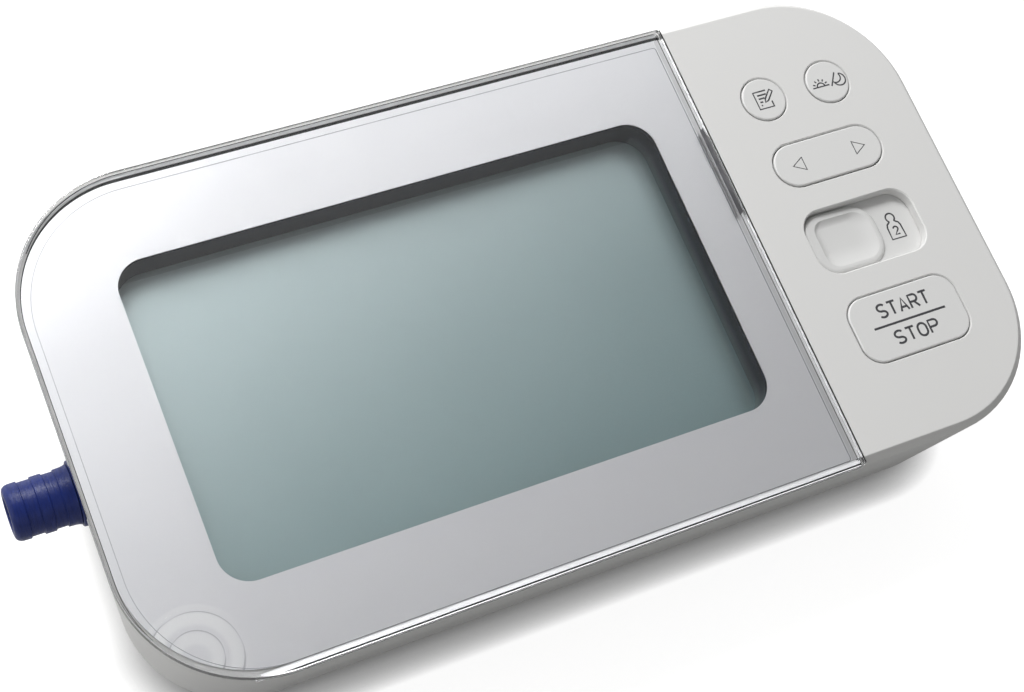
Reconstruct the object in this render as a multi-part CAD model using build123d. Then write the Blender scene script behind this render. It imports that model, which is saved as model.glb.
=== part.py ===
from build123d import *
from math import cos, radians, sin, tan
import os

# A tabletop blood pressure monitor console, in millimetres, +Z up.
# Most pieces are built square to the sloping face, in the face's own frame:
# x to the right, y up the slope, z out of the face, origin at the middle of
# the display window. FACE carries them onto the slope. Depths are distances
# below the face, so a depth of 9 is z = -9 there.

# ---- face and case: FACE_MIDDLE_X and FACE_FRONT are places on the face's own x and y ----
FACE_WIDTH = 191.9
FACE_LENGTH = 101.3
FACE_CORNER = 26.0
FACE_MIDDLE_X = 20.85
FACE_FRONT = -50.0
FACE_TILT = 30.0
FRONT_EDGE_HEIGHT = 35.0
WALL = 2.2
PANEL_WALL = 2.4
UPPER_DRAFT = 5.5
LOWER_DRAFT = 8.0
PARTING_DEPTH = 34.0
PARTING_STEP = 1.2
PARTING_ROUND = 0.8
CASE_BOTTOM = 1.5
EDGE_BEVEL = 1.5
EDGE_SOFTENING = 0.4
FLOOR_ROUND = 4.0
FAR = 150.0
THROUGH = 1.0

# ---- display ----
WINDOW_WIDTH = 112.4
WINDOW_LENGTH = 65.0
WINDOW_CORNER = 6.0
LENS_THICK = 2.2
LENS_RIGHT = 68.15
LENS_EDGE_ROUND = 0.35
LENS_FIT = 0.05
FILM_THICK = 0.2
MASK_EDGES = (-74.2, 66.4, -48.1, 49.9)
MASK_CORNER = 24.6
MASK_WINDOW = (-56.2, 56.9, -32.25, 33.05)
TAPE_INSET = 3.2
TAPE_RIGHT = 65.4
TAPE_WINDOW_GAP = 2.6
LEDGE_TOP = LENS_THICK + 2 * FILM_THICK
LEDGE_BOTTOM = LEDGE_TOP + 2.2
LENS_POCKET_RIGHT = 68.35
GATE_SLOT = (66.5, 67.4, 6.5, 26.5)
FRAME_WALL_OUT = 1.7
FRAME_WALL_IN = 0.3
FRAME_FLANGE = (122.0, 75.0)
FRAME_GAP = 0.05
CASE_WINDOW_GAP = 1.9
LCD_TOP = 8.8
LCD_SIZE = (120.0, 73.0, 2.8)
LCD_FRONT_GLASS = (68.0, 1.4)
HOLDER_SIZE = (124.0, 77.0)
HOLDER_GAP = 0.15
REFLECTOR_SIZE = (116.0, 58.0)
REFLECTOR_LIFT = 0.4
ZEBRA_HALF_LENGTH = 52.0
ZEBRA_HALF_WIDTH = 1.2
ZEBRA_ROWS = (-33.0, 33.0)

# ---- main board ----
BOARD_TOP = 15.0
BOARD_THICK = 1.6
BOARD_SIZE = (136.0, 83.0)
BOARD_CORNER = 16.0
BOARD_POSTS = [(-66, -24), (-66, 24), (66, -24), (66, 24)]
BOARD_POST_RADIUS = 2.2
SCREW_PILOT = 0.9
SCREW_CLEARANCE = 1.0
BOARD_UNDER = -BOARD_TOP - BOARD_THICK
CHIPS = [
    ((10, 8), (14, 14), 1.8),
    ((34, -12), (10, 8), 1.5),
    ((-8, -20), (6, 4), 1.2),
    ((52, 20), (5, 12), 2.5),
]
BUZZER_MIDDLE = (50.0, -20.0)
BUZZER_RADIUS = 6.0
BUZZER_HEIGHT = 5.0
SENSOR_MIDDLE = (-34.0, 19.0)
SENSOR_SIDE = 10.0
SENSOR_HEIGHT = 9.0

# ---- keys: middle of each, size and corner of its opening ----
KEY_GAP = 0.2
KEY_PROUD = 0.15
KEY_EDGE_ROUND = 0.35
KEY_SKIRT = 1.1
KEY_FLANGE_WIDER = 1.2
OPENING_FLARE = 0.25
MEMORY_KEY = (83.3, 29.4)
AVERAGE_KEY = (98.9, 29.4)
ROUND_KEY_RADIUS = 5.05
START_MIDDLE = (91.15, -25.05)
START_SIZE = (25.9, 14.7)
KEY_CORNER = 4.6
KEY_STEM_RADIUS = 2.0
ROCKER_MIDDLE = (91.1, 13.4)
ROCKER_SIZE = (25.8, 10.1)
ROCKER_BOTTOM = 3.0
ROCKER_PIVOT_DEPTH = 3.4
ROCKER_TRUNNION = 0.85
ROCKER_WEB = 1.6
ROCKER_SWITCH_X = 8.8
ROCKER_BOSS = 1.5
CRADLE_BORE = 0.9
CRADLE_INSIDE = 5.2
CRADLE_CHEEK = 1.4
SWITCH_SIDE = 6.0
SWITCH_TOP = 5.5
SWITCH_HOLLOW = 1.7
PIN_RADIUS = 1.65
PIN_BOTTOM = 6.3
STEM_BOTTOM = 4.6

# ---- user slider ----
SLIDER_MIDDLE = (91.15, -4.6)
SLIDER_SIZE = (25.9, 14.4)
SLIDER_POCKET = (69.2, 113.5, 8.3)
SLIDER_POCKET_DEPTH = 5.3
SLIDER_TOP = PANEL_WALL + 0.12
SLIDER_THICK = 1.3
SLIDER_PLATE = (69.4, 104.4, 7.9)
PAD_GAP = 0.25
PAD_RIGHT = 95.5
PAD_RIGHT_CORNER = 5.2
PAD_LOW = 1.2
PAD_ROUND = 0.9
DISH_SIZE = (12.6, 10.6)
DISH_MIDDLE = (87.6, -4.9)
DISH_CORNER = 4.4
DISH_DEPTH = 0.7
SLIDER_FORK = (84.8, 88.0)
FORK_THICK = 1.2
FORK_BOTTOM = 6.9
GUIDE_SPAN = (69.6, 113.2, 8.1)
GUIDE_TOP = PANEL_WALL + 1.5
GUIDE_BOTTOM = 5.2
GUIDE_HOLE = (80.0, 101.5, 4.4)
GUIDE_LEGS_X = (72.2, 108.4)
GUIDE_LEG = 2.0
SLIDE_SWITCH_X = (82.0, 100.4)
SLIDE_SWITCH_TOP = 7.0
KNOB_X = (86.05, 87.95)
KNOB_PATH_X = (85.8, 97.0)

# ---- key board ----
KEY_BOARD_TOP = 9.0
KEY_BOARD_MIDDLE = (90.7, -1.0)
KEY_BOARD_SIZE = (38.6, 77.0)
KEY_BOARD_CORNER = 9.0
KEY_POSTS = [(74.5, 22), (108, 22), (74.5, -36.5), (101, -36.5)]
KEY_POST_RADIUS = 2.0
RIBBON_KEY_X = 75.0
RIBBON_MAIN_X = 61.0
RIBBON_THICK = 0.4
RIBBON_SLACK = 2.0
RIBBON_Y = (-2.0, 6.0)

# ---- air line ----
AIR_AXIS = (-0.6, -22.0)
AIR_SEAT_X = -72.4
AIR_SEAT_RADIUS = 8.5
AIR_HOLE_RADIUS = 6.2
JACK_BODY_RADIUS = 5.2
JACK_END_X = -57.0
PLUG_END_X = -86.2
PLUG_RADIUS = 5.6
PLUG_WAIST = PLUG_RADIUS - 0.4
PLUG_FLANGE = PLUG_RADIUS + 0.9
NOSE_RADIUS = 4.0
NOSE_LENGTH = 11.0
NOSE_FIT = 0.08
RING_PLACE = 4.4
RING_CENTRE = NOSE_RADIUS - 0.38
RING_SECTION = 0.42
HOSE_SOCKET = (3.2, 9.0)
TUBE_OUTER = 2.5
TUBE_INNER = 1.5
DUCT = 0.7
SPIGOT = 7.0
MANIFOLD_X = -34.0
MANIFOLD_SIZE = (12.0, 10.0)
PUMP_AXIS = (86.6, 37.5)
PUMP_HEAD_X = 26.0
PUMP_HEAD_SIDE = 25.0
PUMP_HEAD_LENGTH = 16.0
MOTOR_RADIUS = 12.0
MOTOR_LENGTH = 30.0
VALVE_SPIGOT = (-12.0, 70.0, 29.0)
VALVE_LENGTH = 21.0
VALVE_HALF_WIDTH = 7.5

# ---- adapter socket ----
POWER_AXIS = (4.0, -22.0)
POWER_SEAT_X = 114.1
POWER_SEAT_RADIUS = 8.5
POWER_BODY_RADIUS = 6.85
POWER_FLANGE_RADIUS = 8.2
COLLAR_BORE = (5.0, 3.0)
BARREL_BORE = (2.8, 9.5)
CENTRE_PIN = 1.0

# ---- battery bay, measured along the table from the face's front edge ----
BAY_HALF_WIDTH = 31.0
BAY_FRONT = 42.1
BAY_BACK = 99.7
BAY_ROOF = 19.9
BAY_WALL = 1.6
COVER_THICK = 2.0
COVER_GAP = 0.3
CELL_COUNT = 4
CELL_RADIUS = 7.25
CELL_LENGTH = 50.5
CELL_NIPPLE = (2.7, 1.2)
CELL_PITCH = 14.9
CELL_HEIGHT = CASE_BOTTOM + COVER_THICK + 0.4 + CELL_RADIUS
CONTACT_HALF_WIDTH = 4.0
CONTACT_REACH = 3.4
CONTACT_FOOT = 5.5
HINGE_Y = 43.3
HINGE_Z = CASE_BOTTOM + 1.0
HINGE_PIN = 0.7
HINGE_PIN_LENGTH = 1.4
GRIP_RIDGES = 5
GRIP_PITCH = 1.6
GRIP_HALF_WIDTH = 8.0

# ---- case screws: places on the face's own x and y ----
CASE_SCREWS = [(-58.0, -30.0), (98.2, -30.0), (-45.0, 27.0), (85.2, 27.0)]
CASE_POST_BOTTOM = 42.0
CASE_POST_TOP = 20.0
CASE_POST_RADIUS = 3.2
RIB_BOTTOM = 33.0
RIB_HALF_THICK = 0.8
RIB_LEFT = -71.0
RIB_RIGHT = 112.5
RIB_BACK = 47.3
SCREW_THREAD = 1.5
SCREW_LENGTH = 14.5
SCREW_HEAD = (2.8, 2.2)
SCREW_SEAT_DEPTH = 45.0
WELL_OUTER = 4.6
WELL_INNER = 3.3

# ---- feet ----
FEET = [(-47.9, 38.0), (89.6, 38.0), (-45.9, 99.0), (87.6, 99.0)]
FOOT_RADIUS = 5.0
FOOT_RECESS = 0.8

WINDOW_MIDDLE_Y = -FACE_FRONT * cos(radians(FACE_TILT))
WINDOW_MIDDLE_Z = FRONT_EDGE_HEIGHT - FACE_FRONT * sin(radians(FACE_TILT))
FACE = Plane(
    origin=(0, WINDOW_MIDDLE_Y, WINDOW_MIDDLE_Z),
    x_dir=(1, 0, 0),
    z_dir=(0, -sin(radians(FACE_TILT)), cos(radians(FACE_TILT))),
)


def box(x0, x1, y0, y1, z0, z1):
    """A block between two corners."""
    middle = Pos((x0 + x1) / 2, (y0 + y1) / 2, (z0 + z1) / 2)
    return middle * Box(abs(x1 - x0), abs(y1 - y0), abs(z1 - z0))


def band(x0, x1, y, half_width, z0, z1):
    """A block along x, with its middle line at y."""
    return box(x0, x1, y - half_width, y + half_width, z0, z1)


def rod_z(x, y, z0, z1, radius):
    """A round bar along z."""
    return Pos(x, y, (z0 + z1) / 2) * Cylinder(radius, z1 - z0)


def rod_x(x0, x1, y, z, radius):
    """A round bar along x."""
    return Pos((x0 + x1) / 2, y, z) * Rot(0, 90, 0) * Cylinder(radius, x1 - x0)


def rod_y(y0, y1, x, z, radius):
    """A round bar along y."""
    return Pos(x, (y0 + y1) / 2, z) * Rot(90, 0, 0) * Cylinder(radius, y1 - y0)


def plate(middle, size, corner, z0, z1):
    """A round-cornered plate on the face, from z0 up to z1."""
    outline = RectangleRounded(size[0], size[1], corner)
    return Pos(middle[0], middle[1], z0) * extrude(outline, amount=z1 - z0)


def top_edges(piece):
    return piece.edges().group_by(Axis.Z)[-1]


def bottom_edges(piece):
    return piece.edges().group_by(Axis.Z)[0]


def separate(pieces):
    """Several solids kept apart in one node."""
    return Compound([solid for piece in pieces for solid in piece.solids()])


def rounded(x0, x1, y0, y1, corner):
    """A round-cornered outline between two corners."""
    return Pos((x0 + x1) / 2, (y0 + y1) / 2) * RectangleRounded(x1 - x0, y1 - y0, corner)


def left_of(right, outline):
    """The part of an outline to the left of a line."""
    return outline & Pos((right - FAR) / 2, 0) * Rectangle(right + FAR, FAR)


def face_outline(inset):
    """The outline of the whole face, moved inwards."""
    width = FACE_WIDTH - 2 * inset
    length = FACE_LENGTH - 2 * inset
    middle = Pos(FACE_MIDDLE_X, FACE_FRONT + FACE_LENGTH / 2)
    return middle * RectangleRounded(width, length, FACE_CORNER - inset)


def window_outline(margin):
    """The display window, made larger all round."""
    size = (WINDOW_WIDTH + 2 * margin, WINDOW_LENGTH + 2 * margin)
    return RectangleRounded(*size, WINDOW_CORNER + margin)


def drafted(inset, z_top, z_bottom, draft):
    """The face outline carried down from z_top, narrowing with depth."""
    outline = Pos(0, 0, z_top) * face_outline(inset)
    return extrude(outline, amount=z_bottom - z_top, taper=draft)


def upper_inset(depth):
    """How far the upper case's outside has drawn in at a depth."""
    return depth * tan(radians(UPPER_DRAFT))


def table_block(z0, z1):
    """Everything between two heights above the table."""
    return box(-FAR, FAR, -FAR, FAR, z0, z1)


def face_point(x, y, z):
    """A point of the face's frame, in the case's frame."""
    return FACE.from_local_coords(Vector(x, y, z))


def key_openings():
    """The through openings for the keys, with a softened top edge."""
    tools = []
    for outline, middle in [
        (Circle(ROUND_KEY_RADIUS), MEMORY_KEY),
        (Circle(ROUND_KEY_RADIUS), AVERAGE_KEY),
        (RectangleRounded(*ROCKER_SIZE, ROCKER_SIZE[1] / 2 - 0.01), ROCKER_MIDDLE),
        (RectangleRounded(*SLIDER_SIZE, KEY_CORNER), SLIDER_MIDDLE),
        (RectangleRounded(*START_SIZE, KEY_CORNER), START_MIDDLE),
    ]:
        at = Pos(middle[0], middle[1], 0)
        tools.append(at * extrude(outline, amount=-PANEL_WALL - THROUGH))
        flare = offset(outline, amount=OPENING_FLARE)
        tools.append(at * extrude(flare, amount=-OPENING_FLARE, taper=45))
    return tools


def case_posts():
    """The four screw posts under the face, each tied to a wall by a rib."""
    posts = []
    for x, y in CASE_SCREWS:
        post = rod_z(x, y, -CASE_POST_BOTTOM, -CASE_POST_TOP, CASE_POST_RADIUS)
        if y < 0:
            side = RIB_LEFT if x < 0 else RIB_RIGHT
            post += band(x, side, y, RIB_HALF_THICK, -RIB_BOTTOM, -CASE_POST_TOP)
        else:
            half = RIB_HALF_THICK
            post += box(x - half, x + half, y, RIB_BACK, -RIB_BOTTOM, -CASE_POST_TOP)
        pilot = rod_z(x, y, -CASE_POST_BOTTOM, -SCREW_SEAT_DEPTH + SCREW_LENGTH + THROUGH, SCREW_THREAD)
        posts.append(post - pilot)
    return posts


def upper_case():
    outside = drafted(0, 0, -PARTING_DEPTH, UPPER_DRAFT)
    outside = chamfer(top_edges(outside), EDGE_BEVEL)
    outside = fillet(top_edges(outside), EDGE_SOFTENING)
    outside = fillet(bottom_edges(outside), PARTING_ROUND)
    outside -= box(-FAR, LENS_POCKET_RIGHT, -FAR, FAR, -LEDGE_TOP, THROUGH)
    left = drafted(upper_inset(LEDGE_BOTTOM) + WALL, -LEDGE_BOTTOM, -PARTING_DEPTH - THROUGH, UPPER_DRAFT)
    right = drafted(upper_inset(PANEL_WALL) + WALL, -PANEL_WALL, -PARTING_DEPTH - THROUGH, UPPER_DRAFT)
    right &= box(LENS_POCKET_RIGHT + WALL, FAR, -FAR, FAR, -PARTING_DEPTH - THROUGH, 0)
    case = outside - left - right
    # The display's opening, and the pocket that the user slider runs in.
    window = extrude(window_outline(CASE_WINDOW_GAP), amount=LEDGE_BOTTOM + THROUGH)
    case -= Pos(0, 0, -LEDGE_BOTTOM - THROUGH) * window
    x0, x1, half_width = SLIDER_POCKET
    case -= band(x0, x1, SLIDER_MIDDLE[1], half_width, -SLIDER_POCKET_DEPTH, -PANEL_WALL)
    for tool in key_openings():
        case -= tool
    for x, y in BOARD_POSTS:
        case += rod_z(x, y, -BOARD_TOP, -LEDGE_BOTTOM + 0.2, BOARD_POST_RADIUS)
        case -= rod_z(x, y, -BOARD_TOP, -BOARD_TOP + 6.5, SCREW_PILOT)
    for x, y in KEY_POSTS:
        case += rod_z(x, y, -KEY_BOARD_TOP, -PANEL_WALL + 0.2, KEY_POST_RADIUS)
        case -= rod_z(x, y, -KEY_BOARD_TOP, -KEY_BOARD_TOP + 5, SCREW_PILOT)
    for post in case_posts():
        case += post
    # Flat seats and holes for the air jack on the left and the adapter on the right.
    y, z = AIR_AXIS
    case -= rod_x(AIR_SEAT_X - 6, AIR_SEAT_X, y, z, AIR_SEAT_RADIUS)
    case -= rod_x(AIR_SEAT_X - THROUGH, AIR_SEAT_X + 8, y, z, AIR_HOLE_RADIUS)
    y, z = POWER_AXIS
    case -= rod_x(POWER_SEAT_X, POWER_SEAT_X + 6, y, z, POWER_SEAT_RADIUS)
    case -= rod_x(POWER_SEAT_X - 8, POWER_SEAT_X + THROUGH, y, z, POWER_BODY_RADIUS + 0.05)
    return FACE * case


def lower_case():
    start = upper_inset(PARTING_DEPTH) + PARTING_STEP
    reach = 120.0
    outside = FACE * drafted(start, -PARTING_DEPTH, -reach, LOWER_DRAFT)
    outside &= table_block(CASE_BOTTOM, reach)
    outside = fillet(bottom_edges(outside), FLOOR_ROUND)
    inside = FACE * drafted(start + WALL, -PARTING_DEPTH + THROUGH, -reach, LOWER_DRAFT)
    inside &= table_block(CASE_BOTTOM + WALL, reach)
    case = outside - inside
    x0 = FACE_MIDDLE_X - BAY_HALF_WIDTH
    x1 = FACE_MIDDLE_X + BAY_HALF_WIDTH
    case += box(
        x0 - BAY_WALL, x1 + BAY_WALL, BAY_FRONT - BAY_WALL, BAY_BACK + BAY_WALL,
        CASE_BOTTOM, BAY_ROOF + BAY_WALL,
    )
    case -= box(x0, x1, BAY_FRONT, BAY_BACK, 0, BAY_ROOF)
    case -= rod_x(x0 - HINGE_PIN_LENGTH, x1 + HINGE_PIN_LENGTH, HINGE_Y, HINGE_Z, HINGE_PIN + 0.05)
    hollows = []
    for x, y in CASE_SCREWS:
        well = FACE * rod_z(x, y, -reach, -CASE_POST_BOTTOM - 0.02, WELL_OUTER)
        case += well & table_block(CASE_BOTTOM, reach)
        hollows.append(FACE * rod_z(x, y, -reach, -SCREW_SEAT_DEPTH, WELL_INNER))
        hollows.append(FACE * rod_z(x, y, -SCREW_SEAT_DEPTH - THROUGH, -40, SCREW_THREAD + 0.2))
    for hollow in hollows:
        case -= hollow
    for x, y in FEET:
        case -= rod_z(x, y, 0, CASE_BOTTOM + FOOT_RECESS, FOOT_RADIUS + 0.05)
    return case


def display_lens():
    lens = extrude(left_of(LENS_RIGHT, face_outline(LENS_FIT)), amount=-LENS_THICK)
    lens = fillet(top_edges(lens), LENS_EDGE_ROUND)
    # The slot that the moulding gate leaves in the right edge, with slanted ends.
    x0, x1, y0, y1 = GATE_SLOT
    slant = 0.5
    corners = [(x0, y0 - slant), (x1, y0 + slant), (x1, y1 + slant), (x0, y1 - slant)]
    slot = make_face(Polyline(*corners, close=True))
    return FACE * (lens - extrude(slot, amount=-LENS_THICK))


def film(outline, z_top):
    """A thin sheet under the lens."""
    return FACE * (Pos(0, 0, z_top) * extrude(outline, amount=-FILM_THICK))


def lens_mask():
    """The silver film, cut square on its right, with the window in it."""
    left, right, low, high = MASK_EDGES
    outline = left_of(right, rounded(left, FAR, low, high, MASK_CORNER))
    return film(outline - rounded(*MASK_WINDOW, WINDOW_CORNER), -LENS_THICK)


def lens_tape():
    outline = left_of(TAPE_RIGHT, face_outline(TAPE_INSET))
    return film(outline - window_outline(TAPE_WINDOW_GAP), -LENS_THICK - FILM_THICK)


def display_frame():
    """The dark surround between the window and the liquid crystal panel."""
    top = -LEDGE_TOP - FRAME_GAP
    frame = Pos(0, 0, -LCD_TOP) * extrude(window_outline(FRAME_WALL_OUT), amount=LCD_TOP + top)
    frame += plate((0, 0), FRAME_FLANGE, 5, -LCD_TOP, -LEDGE_BOTTOM - FRAME_GAP)
    frame -= Pos(0, 0, -LCD_TOP) * extrude(window_outline(FRAME_WALL_IN), amount=LCD_TOP)
    return FACE * frame


def lcd_panel():
    """Two glasses, the rear one larger for the contact rows."""
    width, length, thick = LCD_SIZE
    front_length, front_thick = LCD_FRONT_GLASS
    middle = -LCD_TOP - front_thick
    rear = band(-width / 2, width / 2, 0, length / 2, -LCD_TOP - thick, middle)
    front = band(-width / 2, width / 2, 0, front_length / 2, middle, -LCD_TOP)
    return FACE * (rear + front)


def lcd_holder():
    ring = plate((0, 0), HOLDER_SIZE, 2, -BOARD_TOP, -LCD_TOP)
    half_width = LCD_SIZE[0] / 2 + HOLDER_GAP
    ring -= band(-half_width, half_width, 0, LCD_SIZE[1] / 2 + HOLDER_GAP, -BOARD_TOP, -LCD_TOP)
    return FACE * ring


def lcd_reflector():
    return FACE * plate((0, 0), REFLECTOR_SIZE, 1, -BOARD_TOP + REFLECTOR_LIFT, -LCD_TOP - LCD_SIZE[2])


def zebra_strips():
    """Two rubber connector strips between the panel and the main board."""
    top = -LCD_TOP - LCD_SIZE[2]
    strips = []
    for y in ZEBRA_ROWS:
        strips.append(band(-ZEBRA_HALF_LENGTH, ZEBRA_HALF_LENGTH, y, ZEBRA_HALF_WIDTH, -BOARD_TOP, top))
    return FACE * separate(strips)


def main_board():
    board = plate((0, 0), BOARD_SIZE, BOARD_CORNER, BOARD_UNDER, -BOARD_TOP)
    for x, y in BOARD_POSTS:
        board -= rod_z(x, y, BOARD_UNDER, -BOARD_TOP, SCREW_CLEARANCE)
    return FACE * board


def board_chips():
    chips = [plate(at, size, 0.4, BOARD_UNDER - height, BOARD_UNDER) for at, size, height in CHIPS]
    return FACE * separate(chips)


def buzzer():
    x, y = BUZZER_MIDDLE
    bottom = BOARD_UNDER - BUZZER_HEIGHT
    sound_hole = rod_z(x, y, bottom, bottom + 1, 1)
    return FACE * (rod_z(x, y, bottom, BOARD_UNDER, BUZZER_RADIUS) - sound_hole)


def pressure_sensor():
    x, y = SENSOR_MIDDLE
    z = AIR_AXIS[1]
    front = y - SENSOR_SIDE / 2
    body = plate(SENSOR_MIDDLE, (SENSOR_SIDE, SENSOR_SIDE), 1, BOARD_UNDER - SENSOR_HEIGHT, BOARD_UNDER)
    spigot = rod_y(front - SPIGOT, front, x, z, TUBE_INNER)
    duct = rod_y(front - SPIGOT, y, x, z, DUCT)
    return FACE * (body + spigot - duct)


def key_board():
    z0 = -KEY_BOARD_TOP - BOARD_THICK
    board = plate(KEY_BOARD_MIDDLE, KEY_BOARD_SIZE, KEY_BOARD_CORNER, z0, -KEY_BOARD_TOP)
    for x, y in KEY_POSTS:
        board -= rod_z(x, y, z0, -KEY_BOARD_TOP, SCREW_CLEARANCE)
    return FACE * board


def switch_places():
    """Where the push switches stand on the key board."""
    left = (ROCKER_MIDDLE[0] - ROCKER_SWITCH_X, ROCKER_MIDDLE[1])
    right = (ROCKER_MIDDLE[0] + ROCKER_SWITCH_X, ROCKER_MIDDLE[1])
    return [MEMORY_KEY, AVERAGE_KEY, left, right, START_MIDDLE]


def push_switches():
    bodies = []
    for place in switch_places():
        body = plate(place, (SWITCH_SIDE, SWITCH_SIDE), 0.6, -KEY_BOARD_TOP, -SWITCH_TOP)
        bodies.append(body - rod_z(*place, -SWITCH_TOP - SWITCH_HOLLOW, -SWITCH_TOP, PIN_RADIUS + 0.1))
    return FACE * separate(bodies)


def switch_pin(place):
    """The moving pin of one push switch."""
    pin = rod_z(*place, -PIN_BOTTOM, -STEM_BOTTOM, PIN_RADIUS)
    return fillet(top_edges(pin), 0.3)


def rocker_pins():
    return FACE * separate([switch_pin(place) for place in switch_places()[2:4]])


def key_cap(outline, flange, middle):
    """A key: cap in the opening, flange under the panel, stem down to its switch."""
    bottom = -PANEL_WALL - KEY_SKIRT
    cap = Pos(0, 0, bottom) * extrude(outline, amount=KEY_PROUD - bottom)
    cap = fillet(top_edges(cap), KEY_EDGE_ROUND)
    cap += Pos(0, 0, bottom) * extrude(flange, amount=KEY_SKIRT - 0.05)
    cap += rod_z(0, 0, -STEM_BOTTOM, bottom + 0.1, KEY_STEM_RADIUS)
    return FACE * (Pos(middle[0], middle[1], 0) * cap)


def round_key(middle):
    cap = Circle(ROUND_KEY_RADIUS - KEY_GAP)
    return key_cap(cap, Circle(ROUND_KEY_RADIUS + KEY_FLANGE_WIDER), middle)


def start_key():
    width, length = START_SIZE
    cap = RectangleRounded(width - 2 * KEY_GAP, length - 2 * KEY_GAP, KEY_CORNER - KEY_GAP)
    wider = KEY_FLANGE_WIDER
    flange = RectangleRounded(width + 2 * wider, length + 2 * wider, KEY_CORNER + wider)
    return key_cap(cap, flange, START_MIDDLE)


def arrow_rocker():
    """One long key on trunnions, with a boss over the switch under each end."""
    width = ROCKER_SIZE[0] - 2 * PAD_GAP
    length = ROCKER_SIZE[1] - 2 * PAD_GAP
    trunnion_end = CRADLE_INSIDE + CRADLE_CHEEK - 0.4
    cap = plate((0, 0), (width, length), length / 2 - 0.01, -ROCKER_BOTTOM, KEY_PROUD)
    cap = fillet(top_edges(cap), KEY_EDGE_ROUND)
    web_bottom = -ROCKER_PIVOT_DEPTH - ROCKER_TRUNNION
    cap += band(-ROCKER_WEB, ROCKER_WEB, 0, length / 2, web_bottom, -ROCKER_BOTTOM)
    cap += rod_y(-trunnion_end, trunnion_end, 0, -ROCKER_PIVOT_DEPTH, ROCKER_TRUNNION)
    for x in (-ROCKER_SWITCH_X, ROCKER_SWITCH_X):
        cap += rod_z(x, 0, -STEM_BOTTOM + 0.8, -ROCKER_BOTTOM, ROCKER_BOSS)
    return FACE * (Pos(*ROCKER_MIDDLE, 0) * cap)


def rocker_cradle():
    """Two cheeks on the key board that carry the rocker's trunnions."""
    outside = CRADLE_INSIDE + CRADLE_CHEEK
    cradle = band(-3, 3, 0, outside, -KEY_BOARD_TOP, -KEY_BOARD_TOP + 0.8)
    for y0, y1 in ((-outside, -CRADLE_INSIDE), (CRADLE_INSIDE, outside)):
        cradle += box(-1.8, 1.8, y0, y1, -KEY_BOARD_TOP, -ROCKER_PIVOT_DEPTH)
    cradle -= rod_y(-outside, outside, 0, -ROCKER_PIVOT_DEPTH, CRADLE_BORE)
    return FACE * (Pos(*ROCKER_MIDDLE, 0) * cradle)


def slider_pad_outline():
    """The thumb pad at rest, with fuller corners on its right."""
    x0 = SLIDER_MIDDLE[0] - SLIDER_SIZE[0] / 2 + PAD_GAP
    y = SLIDER_MIDDLE[1]
    width = 40.0
    length = SLIDER_SIZE[1] - 2 * PAD_GAP
    left = Pos(x0 + width / 2, y) * RectangleRounded(width, length, KEY_CORNER - PAD_GAP)
    right = Pos(PAD_RIGHT - width / 2, y) * RectangleRounded(width, length, PAD_RIGHT_CORNER)
    return left & right


def user_slider():
    """A plate behind the panel with a dished thumb pad and a fork for the switch knob."""
    y = SLIDER_MIDDLE[1]
    x0, x1, half_width = SLIDER_PLATE
    slider = band(x0, x1, y, half_width, -SLIDER_TOP - SLIDER_THICK, -SLIDER_TOP)
    pad = Pos(0, 0, -SLIDER_TOP) * extrude(slider_pad_outline(), amount=SLIDER_TOP - PAD_LOW)
    slider += fillet(top_edges(pad), PAD_ROUND)
    dish = Pos(*DISH_MIDDLE, -PAD_LOW) * RectangleRounded(*DISH_SIZE, DISH_CORNER)
    slider -= extrude(dish, amount=-DISH_DEPTH, taper=50)
    for x in SLIDER_FORK:
        slider += band(x, x + FORK_THICK, y, 1.5, -FORK_BOTTOM, -SLIDER_TOP - SLIDER_THICK + 0.1)
    return FACE * slider


def slide_knob():
    return FACE * band(*KNOB_X, SLIDER_MIDDLE[1], 1.0, -SLIDE_SWITCH_TOP - 0.4, -SLIDE_SWITCH_TOP + 1.3)


def slide_switch():
    y = SLIDER_MIDDLE[1]
    body = band(*SLIDE_SWITCH_X, y, 2.6, -KEY_BOARD_TOP, -SLIDE_SWITCH_TOP)
    body -= band(*KNOB_PATH_X, y, 1.1, -SLIDE_SWITCH_TOP - 0.6, -SLIDE_SWITCH_TOP)
    return FACE * body


def slider_guide():
    """A frame on four legs that holds the slider up against the panel."""
    y = SLIDER_MIDDLE[1]
    x0, x1, half_width = GUIDE_SPAN
    guide = band(x0, x1, y, half_width, -GUIDE_BOTTOM, -GUIDE_TOP)
    guide -= band(GUIDE_HOLE[0], GUIDE_HOLE[1], y, GUIDE_HOLE[2], -GUIDE_BOTTOM, -GUIDE_TOP)
    for x in GUIDE_LEGS_X:
        for leg_y in (y - half_width, y + half_width - GUIDE_LEG):
            guide += box(x, x + GUIDE_LEG, leg_y, leg_y + GUIDE_LEG, -KEY_BOARD_TOP, -GUIDE_BOTTOM)
    return FACE * guide


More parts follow.
